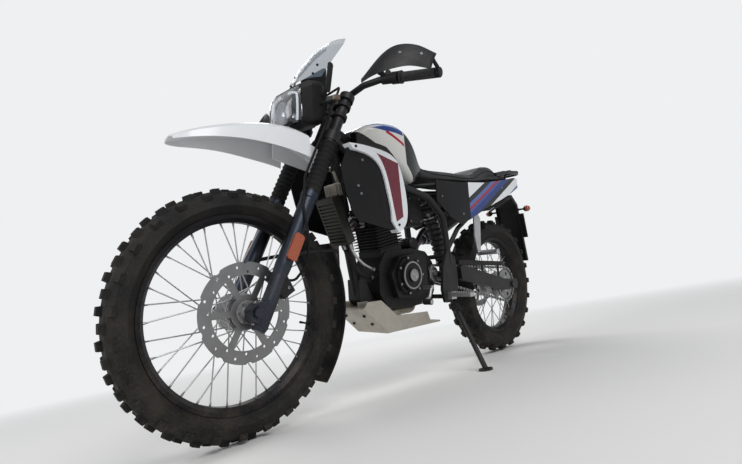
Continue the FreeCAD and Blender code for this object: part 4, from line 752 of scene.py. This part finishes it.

# %% [markdown]
# ## From shapes to pieces
# A piece is one object: its closed shapes become one mesh, which gets a finish and rides on the body that carries it.
# Where a piece stands on the CAD, a straight line from outside finds the spot and the surface's direction.


def piece(name, parts, finish, body="chassis", corner_deg=38):
    """One object of the scene from closed shapes in the machine's millimetres, with its finish and body."""
    points, faces, count = [], [], 0
    for shape_points, quads, triangles in parts:
        points.append(shape_points)
        faces += (quads + count).tolist() + (triangles + count).tolist()
        count += len(shape_points)
    mesh = bpy.data.meshes.new(name)
    mesh.from_pydata(place(np.vstack(points)).tolist(), [], faces)
    mesh.materials.append(finish)
    mesh.shade_smooth()
    mesh.set_sharp_from_angle(angle=math.radians(corner_deg))
    made = bpy.data.objects.new(name, mesh)
    scene.collection.objects.link(made)
    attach(made, body)
    print(name, "faces:", len(faces))
    return made


# %% Places on the CAD's surfaces
DOWN = (0, 0, -1)


def both_sides(points):
    """Points and their mirror images across the machine's middle."""
    return np.vstack([points, np.asarray(points, float) * [1, -1, 1]])


def touch(thing, at, towards):
    """Where a straight line from a point first meets an object, with the surface's own direction there."""
    inverse = thing.matrix_world.inverted()
    start = inverse @ Vector(place(at).tolist())
    way = inverse.to_3x3() @ Vector((np.asarray(towards, float) @ AXES).tolist())
    hit, where, normal, _ = thing.ray_cast(start, way.normalized())
    assert hit, (thing.name, at)
    room = np.array(thing.matrix_world @ where)
    return (room - GROUND_POINT) @ AXES.T * 1000, np.array(thing.matrix_world.to_3x3() @ normal) @ AXES.T


def touches(thing, starts, towards):
    """touch for several starting points: their places and directions."""
    return [np.array(found) for found in zip(*[touch(thing, at, towards) for at in starts])]


def heads_on(node, starts, towards, size, head=BOLT_HEAD):
    """Screw heads where straight lines from the starts meet a CAD node, each facing as the surface does."""
    return copies(head, *touches(NODES[node], starts, towards), size)


print("top of the tank:", np.round(touch(NODES["fuel_tank"], (809, 0.01, 1100), DOWN)[0]))

# %% [markdown]
# ## The seat
# A motorcycle seat is foam on a stiff pan under stretched vinyl. It's plump on top and pulled in along its lower edge.
# The CAD solid gives its room. A copy is remeshed into even squares, shrunk slightly and blown up a little as cloth,
# which rounds it as foam does. Each point may move only so far, least at the sides, where the covers are close.

# %% A mesh's points as arrays


def vertex_arrays(mesh):
    """A mesh's points and normals as arrays."""
    points, normals = np.empty(len(mesh.vertices) * 3), np.empty(len(mesh.vertices) * 3)
    mesh.vertices.foreach_get("co", points)
    mesh.vertices.foreach_get("normal", normals)
    return points.reshape(-1, 3), normals.reshape(-1, 3)


def set_vertices(mesh, points):
    """Puts an array of points into a mesh."""
    mesh.vertices.foreach_set("co", np.asarray(points, np.float32).ravel())
    mesh.update()


def apply_modifiers(thing):
    """Replaces an object's mesh by what its modifiers make of it."""
    view = bpy.context.evaluated_depsgraph_get()
    made = bpy.data.meshes.new_from_object(thing.evaluated_get(view))
    thing.modifiers.clear()
    thing.data = made


print("points of the seat's solid:", len(vertex_arrays(NODES["seat"].data)[0]))

# %% The seat's foam
FOAM_PRESSURE, SWELLING_STEPS = 4.0, 20


def cushion(name, node, shrink, side_room, top_room):
    """A pad in a CAD node's room: a copy is remeshed, moves in along its normals and swells under pressure."""
    work = bmesh.new()
    work.from_mesh(node.data)
    work.transform(node.matrix_world)
    bmesh.ops.remove_doubles(work, verts=work.verts, dist=1e-5)
    mesh = bpy.data.meshes.new(name)
    work.to_mesh(mesh)
    work.free()
    pad = bpy.data.objects.new(name, mesh)
    scene.collection.objects.link(pad)
    remesh = pad.modifiers.new("even", "REMESH")
    remesh.mode, remesh.voxel_size = "VOXEL", 0.005
    apply_modifiers(pad)
    start, normals = vertex_arrays(pad.data)
    shrunk = start - normals * shrink
    set_vertices(pad.data, shrunk)
    cloth = pad.modifiers.new("foam", "CLOTH").settings
    cloth.use_pressure, cloth.uniform_pressure_force, cloth.quality = True, FOAM_PRESSURE, 6
    cloth.effector_weights.gravity = 0
    for step in range(SWELLING_STEPS):
        scene.frame_set(step + 1)
    apply_modifiers(pad)
    scene.frame_set(1)
    move = vertex_arrays(pad.data)[0] - shrunk
    up = normals @ UP
    room = shrink + np.where(up > 0, side_room + (top_room - side_room) * np.clip(up, 0, 1), 0.0)
    length = np.linalg.norm(move, axis=1)
    set_vertices(pad.data, shrunk + move * np.minimum(1, room / np.maximum(length, 1e-9))[:, None])
    return pad


seat = cushion("seat_cushion", NODES["seat"], 0.003, 0.0005, 0.006)
print("cushion size in m:", np.ptp(vertex_arrays(seat.data)[0], 0).round(3))

# %% The seat's cover


def seat_vinyl():
    """Black vinyl: leather grain on the sides and small raised dots on the part that is sat on."""
    f = Finish("seat_vinyl")
    x, y = f.machine(AHEAD, LEFT)
    dots = f.maths("SINE", x * 0.9) * f.maths("SINE", y * 0.9)
    middle = 1 - f.soft_step(abs(y), 66, 70)
    rubbed = f.patches(11, 5, 0.6, 0.42, 0.75)
    body = f.mix(rubbed * 0.6, (0.011, 0.011, 0.012), (0.028, 0.027, 0.026))
    return f.surface(body, f.dust(0.2), Roughness=middle * 0.14 + rubbed * -0.1 + 0.46,
                     Normal=f.bump(f.cells(1100) * 0.5 + middle * dots * 0.6, 0.0004, 0.55))


seat.data.materials.clear()
seat.data.materials.append(seat_vinyl())
finer = seat.modifiers.new("finer", "SUBSURF")
finer.levels = finer.render_levels = 1
seat.data.shade_smooth()
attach(seat, "chassis")
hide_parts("seat")
print("seat points:", len(seat.data.vertices))

# %% [markdown]
# ## The seat's seams
# Round the top of the side panels a welt of piping joins the top to the sides, and two sewn channels cross the seat
# where it steps up. The welt follows points that are found by looking inwards at the finished cushion.

# %% Piping and stitched channels
WELT = curve([(594, 0, 842), (520, 0, 825), (420, 0, 820), (330, 0, 817), (255, 0, 828), (205, 0, 849), (120, 0, 877),
              (60, 0, 877), (0, 0, 866), (-40, 0, 857), (-92, 0, 857)], 90)
welts = [sweep(touches(seat, WELT + [0, side * 170, 0], (0, -side, 0))[0] + [0, side * 0.4, 0], 2.1, 10,
               guide=(0, 0, 1)) for side in (1, -1)]
piece("seat_welt", welts, hose_rubber)
STITCH = sweep([(0, 0, -1.7), (0, 0, 0), (0, 0, 1.7)], 0.55, 6, guide=(1, 0, 0))
channels = []
for x in (338, 214):
    line = touches(seat, [(x - abs(y) * 0.16, y, 930) for y in np.linspace(-84, 84, 43)], DOWN)[0]
    for shift in (-4.5, 4.5):
        places = line + [shift, 0, 0.35]
        channels.append(copies(STITCH, places[1:], np.gradient(places, axis=0)[1:]))
piece("seat_stitches", channels, gaiter_rubber)

# %% [markdown]
# ## The headlamp
# The lamp's glass is a thin domed cover. The CAD solid is full, so a thin shell in the same place stands for it: its
# outlines go from the middle of the inner wall out to the rim and back over the outer wall. Inside are a black
# surround, a dished reflector with two small ones below it, a round projector glass, and a pale light guide that runs
# up both sides. The dishes are turned, and the guide is a flattened round section carried along a curve.

# %% Lamp glass, reflector, projector and light guide
GLASS = [(1203.6, 75.5, 916.5, 1037.5), (1215, 74, 914.5, 1026), (1224, 71, 914.5, 1013), (1231, 64, 918, 1000),
         (1235, 50, 925, 985), (1236.5, 22, 938, 968)]
INNER = [(x - (2.6 if x > 1204 else 0), half - 2.6, low + 2.6, high - 2.6) for x, half, low, high in GLASS]
FORWARD, BACKWARD = (1, 0, 0), (-1, 0, 0)


def loops_ahead(rows, corner, count=56):
    """Rounded rectangles across the machine from rows of (x, half width, low, high)."""
    loops = []
    for x, half, low, high in rows:
        tall = (high - low) / 2
        loops.append(np.c_[np.full(count, x), rounded(half, tall, min(corner, half - 1, tall - 1), count)
                           + [0, low + tall]])
    return np.array(loops)


def light_guide():
    """Milky acrylic with fine cross prisms and a faint glow of its own."""
    f = Finish("light_guide")
    cloud = f.noise(40, 2)
    return f.surface(f.mix(cloud, (0.82, 0.83, 0.85), (0.74, 0.76, 0.8)), Roughness=cloud * 0.1 + 0.15,
                     Normal=f.bump(f.maths("SINE", f.along(UP) * 2.4), 0.0004, 0.5), Emission_Strength=0.12,
                     Emission_Color=f.mix(cloud, (0.9, 0.95, 1), (0.8, 0.9, 1)))


glass = piece("headlamp_glass", [shell_of(loops_ahead(INNER[::-1] + GLASS, 20))], clear_lens, "steering",
              corner_deg=30)
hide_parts("headlamp_lens")
GUIDE = curve([(1214, 61, 922), (1213, 63, 940), (1212, 64, 970), (1210.5, 62, 1000), (1209.5, 52, 1013),
               (1209, 36, 1018), (1209, 20, 1019)], 50)
piece("headlamp_guide", [sweep(GUIDE * [1, side, 1], 4.2, 12, 0.8, (0, 1, 0.3)) for side in (1, -1)], light_guide(),
      "steering")
piece("headlamp_surround", [slab((1204, 0, 976), (0, 1, 0), (0, 0, 1), 71, 55, 17, 2.6)], shroud, "steering")
DISH = [(6, -11.5), (19, -9), (30, -3), (36, 5), (38, 5), (32, -5.5), (20, -11.5), (6, -14)]
LOW_DISH = [(2, -5), (5, -4), (8, 1), (9, 1), (6, -5.5), (2, -6.5)]
PROJECTOR = [(19, -6), (20, 0), (19.4, 4), (16.5, 8), (11, 11), (4, 12)]
piece("headlamp_reflector", [lathe(DISH, (1220, 0, 956), FORWARD, 56)], chrome, "steering")
piece("headlamp_projector", [lathe(PROJECTOR, (1213, 0, 956), FORWARD, 40)], clear_lens, "steering")
piece("headlamp_low_reflectors", [lathe(LOW_DISH, (1213, side * 47, 938), FORWARD, 28) for side in (1, -1)], chrome,
      "steering")

# %% [markdown]
# ## Screen brackets and dash
# Flat black brackets hold the screen. The dash is a sealed box whose back shows a liquid crystal panel under a
# glossy cover, with two rubber buttons, so its face is a thin slab that stands on the CAD's box.

# %% Screen brackets, screen screws and the dash's face
BRACKET_UP, FACE_UP, FACE_LEFT = unit((-21, 0, 100)), unit((-10, 0, 82)), (0, -1, 0)


def display():
    """A liquid crystal panel: grey green glass with dark bars in a row, under a gloss cover with a black border."""
    f = Finish("display")
    y, z = f.machine(LEFT, UP)
    window = f.least(1 - f.over(abs(y), 42), 1 - f.over(abs(z - 1093), 27))
    bar = f.least(f.over(f.maths("SINE", y * 1.25), 0.1, 0.05), f.between(z, 1103, 1112))
    marks = f.least(f.most(bar, f.between(z, 1082, 1083.2)), 1 - f.over(abs(y), 36))
    glow = f.mix(f.noise(30, 2), (0.17, 0.2, 0.17), (0.2, 0.23, 0.2))
    return f.surface(f.mix(window, BLACK, f.mix(marks, glow, (0.02, 0.025, 0.02))),
                     Roughness=0.12 + f.noise(300) * 0.06, Coat_Weight=0.6, Coat_Roughness=0.03)


piece("screen_brackets", [slab((1108, side * 102.5, 1074), BRACKET_UP, side * np.cross((0, 1, 0), BRACKET_UP), 54,
                               10.5, 9, 4.0) for side in (1, -1)], black_plastic, "steering")
piece("dash_face", [slab((1080.7, 0, 1092), FACE_LEFT, FACE_UP, 54, 35, 9, 2.4)], display(), "steering")
piece("dash_buttons", [slab((1085.6, side * 30, 1052.5), FACE_LEFT, FACE_UP, 9, 1.6, 1.5, 3.2) for side in (1, -1)],
      gaiter_rubber, "steering")
screw_starts = [(1300, y, z) for z in (1092, 1128) for y in (-62, 62)]
piece("screen_screws", [heads_on("windscreen", screw_starts, BACKWARD, 4.2)], black_bolt, "steering")

# %% [markdown]
# ## Fasteners
# Panels are held by screws, and covers by bolts. Each one here is a turned head, copied to where a straight line from
# outside meets the part, so that every head sits on its surface and faces the way that the surface does.

# %% Screws and bolts on the parts
INWARD = (0, -1, 0)


def screws(name, node, starts, towards=INWARD, size=4.6, finish=bolt_steel, body="chassis"):
    """Heads on both sides of the machine where lines from the starts meet a node."""
    piece(name, [heads_on(node, np.array(starts) * mirror, np.array(towards) * mirror, size)
                 for mirror in ([1, 1, 1], [1, -1, 1])], finish, body)


screws("shroud_screws", "tank_shrouds", [(1023, 230, 800), (1045, 230, 713), (1034, 230, 688)])
screws("blade_screws", "shroud_blades", [(1060, 230, 838), (872, 230, 588)], finish=black_bolt)
screws("side_panel_screws", "side_panels", [(540, 230, 720), (398, 230, 652)])
screws("tail_screws", "tail_cowl", [(286, 230, 700), (20, 230, 800)])
screws("fender_screws", "front_fender", [(1225, 30, 1000), (1330, 0.01, 1000)], DOWN, 5.0, body="steering")
screws("bash_bolts", "bash_plate", [(1100, 46, 282), (1100, 46, 250)], BACKWARD, 6.0, black_bolt)
guard_starts = fork([(260, side * y, z) for side in (1, -1) for y, z in ((366, 800), (404, 822))])
piece("guard_screws", [heads_on("hand_guards", guard_starts, -FORK_AHEAD, 4.6)], bolt_steel, "steering")
yoke_starts = fork([(x, y, 960) for x in (-4, 24) for y in (-30, 30)])
axle_starts = fork([(140, side * 92, z) for side in (1, -1) for z in (-28, 24)])
piece("fork_bolts", [heads_on("front_caliper", [(1281, 200, 404), (1301, 200, 430)], INWARD, 5.2),
                     heads_on("yokes_and_tubes", yoke_starts, -FORK_UP, 5.2),
                     heads_on("fork_legs", axle_starts, -FORK_AHEAD, 5.2)], bolt_steel, "steering")
piece("stem_nut", [heads_on("yokes_and_tubes", fork([(0, 0.01, 960)]), -FORK_UP, 11, HEX_HEAD)], bolt_steel,
      "steering")


def circle(head, size, centre, radius, y, count, start=0.0):
    """Bolt heads evenly round a circle that stands upright along the machine, facing away from its middle."""
    cosine, sine = turn_of(count, start)
    places = np.hstack([centre[0] + radius * cosine, np.full((count, 1), y), centre[1] + radius * sine])
    return copies(head, places, (0, math.copysign(1, y), 0), size)


piece("engine_bolts", [circle(HEX_HEAD, 3.8, (758, 409), 66, 104, 7, math.pi / 7),
                       circle(HEX_HEAD, 3.8, (680, 410), 76, -100, 8, math.pi / 8)], bolt_steel)
piece("front_disc_bolts", [circle(BOLT_HEAD, 3.6, FRONT, 26, 55, 6)], bolt_steel, "front_wheel")
piece("sprocket_bolts", [circle(HEX_HEAD, 3.8, REAR, 29, 80, 6), circle(BOLT_HEAD, 3.2, REAR, 21, -73, 5)],
      bolt_steel, "rear_wheel")

# %% [markdown]
# ## Spoke nipples and valves
# Each spoke ends in a nipple, a small nut that pokes out of the rim towards the hub. The rim end of every spoke is
# known from how the wheel is laced: they alternate between the two sides, and the hub end lies 58 degrees on.

# %% Spoke nipples and tyre valves
NIPPLE = lathe([(2.6, 0), (3.1, 1.2), (3.1, 7), (2.4, 8.5), (2.2, 14), (1.9, 14.5)], sides=8)
VALVE = lathe([(5, 0), (5, 4), (3.2, 6), (3, 22), (3.9, 23), (3.9, 32), (2.5, 33)], sides=12)
SPOKES, LACING, RIM_DEPTH, FLANGE_EDGE, VALVE_TURN = 36, math.radians(58), 15, 7, 3.4


def spoke_ends(rim_radius, flange_radius, flange_y):
    """Where each spoke meets the rim, from the wheel's centre, and the direction in which it leaves."""
    i = np.arange(SPOKES)
    side, lace = np.where(i % 2 == 0, 1, -1), np.where((i // 2) % 2 == 0, 1, -1)
    rim_turn = i * 2 * math.pi / SPOKES
    hub_turn = rim_turn + lace * LACING
    inner, outer = flange_radius - FLANGE_EDGE, rim_radius - RIM_DEPTH
    end = np.c_[outer * np.cos(rim_turn), side * 5.0, outer * np.sin(rim_turn)]
    return end, np.c_[inner * np.cos(hub_turn), side * (flange_y + 1 + lace * 2.4), inner * np.sin(hub_turn)] - end


out = np.array([math.cos(VALVE_TURN), 0, math.sin(VALVE_TURN)])
for wheel, (x, z), rim_radius, flange in (("front", FRONT, 266, (52, 28)), ("rear", REAR, 228, (64, 30))):
    centre = np.array([x, 0, z])
    ends, ways = spoke_ends(rim_radius, *flange)
    piece(wheel + "_nipples", [copies(NIPPLE, centre + ends, ways)], bolt_steel, wheel + "_wheel")
    piece(wheel + "_valve", [copies(VALVE, centre + out * (rim_radius - RIM_DEPTH), -out)], black_bolt,
          wheel + "_wheel")

# %% [markdown]
# ## Engine details
# Round covers, caps and rings are what a lathe makes: the inspection cap on the generator's cover, the clutch cover's
# raised rings, the plug's cap with its lead and a starter behind the barrel. The header's flange is a plate on the
# port, square to the pipe, under two nuts.

# %% Caps, rings, plug lead, starter and header flange
TILT, BARREL_BASE = math.radians(12), np.array([808.0, 0, 502])
BARREL_AXES = np.array([(math.cos(TILT), 0, -math.sin(TILT)), (0, 1, 0), (math.sin(TILT), 0, math.cos(TILT))])


def barrel(points):
    """Millimetres ahead, left and up along the tilted cylinder, to the machine's own."""
    return BARREL_BASE + np.asarray(points, float) @ BARREL_AXES


CAP = [(23, 0), (23, 1.2), (21.5, 2), (14, 2), (13, 1), (9, 1), (8, 2.4), (3, 2.4)]
piece("generator_cap", [lathe(CAP, (758, 118, 409), (0, 1, 0)),
                        ring([(52, -1), (51, 1.6), (46, 1.6), (45, -1)], (758, 112, 409), (0, 1, 0))],
      bolt_steel)
piece("clutch_rings", [ring([(54, -1), (53, 2), (47, 2), (46, -1)], (680, -108, 410), INWARD),
                       lathe([(26, -1), (26, 2), (24, 3.4), (10, 3.4), (9, 2)], (680, -108, 410), INWARD)],
      engine_alloy)
head_bolts = barrel([(x, side * 56, 193) for side in (1, -1) for x in (-36, 0, 36)])
piece("head_bolts", [copies(HEX_HEAD, head_bolts, np.sign(head_bolts) * [0, 1, 0], 4)], bolt_steel)
PLUG_CAP = [(9, -1), (9, 5), (12, 7), (12, 13), (10.5, 14), (12, 15), (12, 22), (8, 27), (5, 30), (4.5, 34)]
plug = barrel((12, 60, 162))
lead = curve([plug + (0, 32, 0), plug + (0, 42, 14), plug + (-16, 34, 52), (806, 52, 742), (786, 32, 770)], 40)
piece("plug_cap_and_lead", [lathe(PLUG_CAP, plug, (0, 1, 0), 24), sweep(lead, 3.6, 12, guide=(1, 0.3, 0))],
      gaiter_rubber)
STARTER = [(10, -52), (24, -50), (26, -44), (26, 34), (24.5, 35), (24.5, 38), (26, 39), (26, 46), (20, 52), (8, 54)]
piece("starter", [lathe(STARTER, (660, 0, 531), (0, 1, 0), 40)], engine_alloy)
port = barrel((80, -22, 128))
port_way = unit(port - barrel((50, -22, 140)))
piece("header_flange", [slab(port - port_way * 7, (0, 1, 0), np.cross((0, 1, 0), port_way), 40, 26, 20, 6)],
      bolt_steel)
piece("header_nuts", [copies(HEX_HEAD, port - port_way + [(0, 31, 0), (0, -31, 0)], port_way, 5)], bolt_steel)

# %% [markdown]
# ## Oil lines and regulator
# Two lines carry oil between the engine and the cooler ahead of it: a smooth metal tube and a rubber hose with crimped
# ends. Above the cooler sits the voltage regulator, a bare cast block whose thin fins stand in the wind, on a stay.

# %% Lines from the cooler to the engine, and the regulator
CRIMP = [(6, -1), (8.4, 0), (8.4, 16), (7.4, 18), (7, 18.5)]
tube_run = curve([(1006, 46, 530), (1000, 48, 512), (984, 50, 488), (952, 50, 462), (915, 46, 446), (892, 40, 440),
                  (880, 36, 438)], 60)
hose_run = curve([(1016, 22, 530), (1010, 30, 500), (990, 36, 466), (958, 38, 430), (920, 34, 414), (880, 26, 410)],
                 60)
piece("oil_tube", [sweep(tube_run, 5.0)], alloy)
piece("oil_hose", [sweep(hose_run, 6.2)], hose_rubber)
piece("line_ends", [lathe(CRIMP, root, along - root, 16) for line in (tube_run, hose_run)
                    for root, along in (line[[0, 1]], line[[-1, -3]])], bolt_steel)
BLOCK_OUT, BLOCK_AT = unit((0.96, 0, -0.2)), np.array([1030.0, 14, 722])
BLOCK_UP = np.cross(BLOCK_OUT, (0, 1, 0))
fins = [slab(BLOCK_AT + (0, y, 0) + BLOCK_OUT * 11, (0, 1, 0), BLOCK_UP, 1.4, 20, 1.2, 13, 0.4, 16)
        for y in np.linspace(-27, 27, 8)]
piece("regulator", [slab(BLOCK_AT, (0, 1, 0), BLOCK_UP, 33, 22, 6, 12), *fins], bare_cast)
piece("regulator_stay", [sweep(curve([(1037, 16, 787), (1024, 18, 756), (1012, 18, 722)], 14), 7, 12, 0.3),
                         sweep(curve([(1034, 4, 724), (1016, 3, 722), (1003, 2, 716)], 10), 6, 10, 0.5)], bare_cast)

# %% [markdown]
# ## The intake
# Air goes from a moulded box behind the cylinder through a throttle body, whose cable drum turns its flap. Clamps hold
# the rubber on both sides. The box has a ribbed lid on each side, held by screws.

# %% Throttle body, clamps, throttle cable and the air box's lids
THROTTLE = [(24.6, 8), (29, 8), (31, 11), (31, 15), (28, 17), (28, 34), (31, 36), (31, 40), (24.6, 40)]
DRUM = [(7, -5), (8, -3), (17, -2), (19, -0.5), (16.5, 1), (19, 2.5), (17, 4), (8, 5), (5, 8)]
mouth = barrel((-82, 0, 156))
intake_way = unit(mouth - barrel((-50, 0, 150)))
drum_at = mouth + intake_way * 25 + (0, 30, 0)
piece("throttle_body", [ring(THROTTLE, mouth, intake_way), lathe(DRUM, drum_at, (0, 1, 0), 36)], bare_cast)
piece("intake_clamps", [hoop(24.4, 25.8, a, a + 7, mouth, intake_way) for a in (0.5, 43.5)], bolt_steel)
cable = curve([drum_at + (-14, 1.5, 11), drum_at + (4, 4, 36), drum_at + (34, 5, 62), (786, 36, 776)], 40)
piece("throttle_cable", [sweep(cable, 3.0, 12)], hose_rubber)
lids = []
for side in (1, -1):
    upright = [(0, 0, 1), (1, 0, 0)][::side]
    lids.append(slab((656, side * 58, 664), *upright, *(54, 39)[::side], 12, 5))
    lids += [slab((656, side * 63, z), *upright, *(2.5, 30)[::side], 2.2, 2) for z in range(640, 689, 12)]
piece("airbox_lids", lids, black_plastic)
lid_corners = both_sides([(656 + a, 63, 664 + b) for a in (-31, 31) for b in (-45, 45)])
piece("airbox_screws", [copies(BOLT_HEAD, lid_corners, np.sign(lid_corners) * [0, 1, 0], 3.6)], bolt_steel)

# %% [markdown]
# ## Exhaust details
# The silencer wears a bent heat shield under two screws, a clamp where the pipe goes in, and a band near each end.
# The shield is part of a tube about the silencer's own axis: rows run along it, columns go over it and back under.

# %% Heat shield, clamp and bands
CAN_FRONT, CAN_REAR = np.array([345.0, -168, 560]), np.array([-70.0, -172, 744])
CAN_WAY, CAN_LENGTH, CAN_RADIUS = unit(CAN_REAR - CAN_FRONT), float(np.linalg.norm(CAN_REAR - CAN_FRONT)), 50
CAN_OUT = unit(np.cross((0, 0, 1), CAN_WAY))
CAN_SIDE = np.cross(CAN_OUT, CAN_WAY)
SHIELD_RADIUS = 57


def arched_plate(start, stop, spread, radius, thick, rows=40, columns=30):
    """Part of a tube's wall: at each row an arc of one radius, and the arc back at a smaller one. Its width eases in
    and out at the two ends."""
    t = np.linspace(0, 1, rows)
    half = math.radians(spread) * np.minimum(1, np.sqrt(np.clip(np.minimum(t, 1 - t) * 9, 0.06, 1)))
    angle = np.linspace(-1, 1, columns)
    angle = (np.r_[angle, angle[::-1]] * half[:, None])[..., None]
    reach = np.repeat([radius, radius - thick], columns)[:, None]
    middle = CAN_FRONT + CAN_WAY * (start + (stop - start) * t)[:, None]
    return shell_of(middle[:, None] + reach * (np.cos(angle) * CAN_OUT + np.sin(angle) * CAN_SIDE))


piece("heat_shield", [arched_plate(96, 330, 52, SHIELD_RADIUS, 1.6)], shield_steel)
spots = CAN_FRONT + CAN_WAY * [[125], [300]] + CAN_OUT * SHIELD_RADIUS
piece("shield_screws", [copies(BOLT_HEAD, spots, CAN_OUT, 4.4)], black_bolt)
piece("exhaust_clamp", [hoop(*radii, start, stop, CAN_FRONT, CAN_WAY) for radii, start, stop in (
    ((26, 28), 20, 34), ((CAN_RADIUS + 1, CAN_RADIUS), 96, 100),
    ((CAN_RADIUS + 1, CAN_RADIUS), CAN_LENGTH - 64, CAN_LENGTH - 60))], bolt_steel)

# %% [markdown]
# ## Filler cap and number plate
# A lockable filler cap sits in a ring of screws on top of the tank, where a line from above finds it. The number plate
# is a thin sheet on the tail's holder, and it is left blank.

# %% Filler ring and blank plate
cap_at, cap_face = touch(NODES["fuel_tank"], (809, 0.01, 1100), DOWN)
piece("filler_ring", [ring([(35, -1), (35, 2.4), (33, 3), (27, 3), (26, 2), (26, -1)], cap_at, cap_face),
                      lathe([(24, -1), (24, 3.5), (22, 5), (9, 5.4), (8, 4)], cap_at, cap_face),
                      slab(cap_at + cap_face * 5, np.cross(cap_face, (0, 1, 0)), (0, 1, 0), 7, 3, 2.8, 2)],
      bolt_steel)
side, other = across_frame(cap_face)
cosine, sine = turn_of(6)
filler_spots = cap_at + cap_face * 3 + 30 * (cosine * side + sine * other)
piece("filler_screws", [copies(BOLT_HEAD, filler_spots, cap_face, 2.2)], black_bolt)
PLATE_UP = unit((29, 0, 130))
piece("blank_plate", [slab((-283.2, 0, 624), (0, -1, 0), PLATE_UP, 80, 54, 8, 1.6)], plate_paint)
piece("plate_screws", [copies(BOLT_HEAD, both_sides([(-277.5, 58, 657.5)]), (-130, 0, 29), 4.4)], bolt_steel)

# %% [markdown]
# ## Rear indicators
# Two indicators stand out from the plate's holder on short rubber stalks. Each is a profile turned about its stalk,
# cut into a black body and an amber lens, and it starts where a line from the side meets the holder.

# %% Stalks and lenses at the holder
STALK = [(7, -2), (7, 4), (5, 7), (4.6, 26), (6, 30), (14, 38), (16, 44), (16, 47)]
AMBER = [(14, 46), (16, 47.2), (16, 52), (14, 60), (8, 66), (3, 67.5)]
roots = [(side, touch(NODES["rear_fender"], (-252, side * 250, 712), (0, -side, 0))[0]) for side in (1, -1)]
for name, profile, finish in (("stalks", STALK, gaiter_rubber), ("lenses", AMBER, amber_lens)):
    piece("rear_indicator_" + name, [lathe(profile, at, (0, side, 0), 28) for side, at in roots], finish)

# %% [markdown]
# ## Controls, pegs and fork details
# The controls have small parts of their own: switch buttons, the reservoir's lid, ribbed rubber on the gear lever,
# rows of teeth on the pegs, and the clips that hold each gaiter. Buttons stand on the switch housings round the bar.

# %% Switches, reservoir lid, peg teeth, lever rubber and gaiter clips
GRIP = np.array([(2, 212, 836), (-52, 402, 826)])
TOOTH = lathe([(2.6, -0.5), (1.2, 4.5), (0.6, 5)], sides=6)


def on_bar(side, share):
    """A point of the grip, from 0 at its inner end to 1 at the bar's, and its outward direction, along the fork."""
    inner, outer = GRIP * [1, side, 1]
    return inner + (outer - inner) * share, unit(outer - inner)


buttons = []
for side in (1, -1):
    middle, way = on_bar(side, 0.28)
    for turn_deg, shift, size in ((150, -2, 4.5), (115, 4, 5.5), (188, 3, 4)):
        out = np.array([math.cos(math.radians(turn_deg)), 0, math.sin(math.radians(turn_deg))])
        out = unit(out - way * (out @ way))
        buttons.append(slab(fork(middle + way * shift + out * 19.4), way @ FORK_AXES, np.cross(out, way) @ FORK_AXES,
                            size, size * 0.8, 2, 3.4, count=24))
piece("switch_buttons", buttons, gaiter_rubber, "steering")
lid_at = fork(on_bar(-1, 0.09)[0] + (40, 0, 40))
piece("reservoir_lid", [lathe([(18.6, -3), (19, 0), (19, 5), (17.5, 6.5), (6, 6.5), (5, 5.6)], lid_at, FORK_UP, 40)],
      black_plastic, "steering")
lid_spots = lid_at + FORK_UP * 6.5 + [(0, 12, 0), (0, -12, 0)]
piece("lid_screws", [copies(BOLT_HEAD, lid_spots, FORK_UP, 2.4)], bolt_steel, "steering")
teeth = [(x + lean * (y - 136) * 0.045, y, 326) for x, lean in ((514, 1), (540, -1)) for y in range(136, 214, 11)]
piece("peg_teeth", [copies(TOOTH, both_sides(teeth), (0, 0, 1))], bolt_steel)
u = np.linspace(0, 1, 34)
ribs = np.c_[10.2 + 0.9 * np.cos(u * 2 * math.pi * 7), 130 + 33 * u]
piece("lever_rubber", [lathe(np.vstack([(8.2, 129.6), ribs, (8.2, 163.4)]), (726, 0, 308), (0, 1, 0), 24)],
      gaiter_rubber)
piece("gaiter_clips", [hoop(25.0, 26.4, -4, 4, fork((27.3, side * 92, z)), FORK_UP, 40)
                       for side in (1, -1) for z in (400.5, 584.5)], black_bolt, "steering")

# %% [markdown]
# ## Hand guards
# A guard is a moulded shell ahead of each grip, narrow at its inner tip and tall outside. It is a loft: at each place
# along the bar a thin crescent stands between a low and a high edge, and those heights follow one smooth curve.

# %% The guards' shells and arms
# Left, ahead, and the low and high edge, along the fork
GUARD_ROWS = curve([(278, 116, 692, 716), (315, 114, 702, 788), (350, 96, 726, 832), (390, 56, 762, 852),
                    (424, 0, 786, 854)], 46)


def guard_shell(side):
    """Rows of crescents: the outer face is x - 6 t^2 - 2 t as t goes from -1 at the low edge to 1 at the high one, and
    the inner face lies 1.2 to 5.2 mm behind it."""
    t = np.sin(np.linspace(-math.pi / 2, math.pi / 2, 16))
    bulge = -6 * t ** 2 - 2 * t
    wall = 1.2 + 4 * np.sqrt(np.clip(1 - t ** 2, 0, 1))
    t, reach = np.r_[t, t[::-1]], np.r_[bulge, (bulge - wall)[::-1]]
    y, x, low, high = GUARD_ROWS.T[..., None]
    return shell_of(fork(np.stack([x + reach, y * side + 0 * t, (low + high) / 2 + (high - low) / 2 * t], -1)))


guards = [guard_shell(side) for side in (1, -1)]
for side in (1, -1):
    end, way = on_bar(side, 1.0)
    run = curve([end + way * 3, end + way * 10 + (14, 2 * side, 4), end + way * 8 + (36, 4 * side, 9),
                 (2, side * 416, 838)], 24)
    guards += [sweep(fork(run), 6.0, guide=(0, 0, 1)),
               lathe([(15, 0.6), (16, 2), (16, 12), (13, 15)], fork(end), way @ FORK_AXES, 28)]
guard_piece = piece("guard_shells", guards, guard_plastic, "steering", corner_deg=32)
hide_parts("hand_guards")
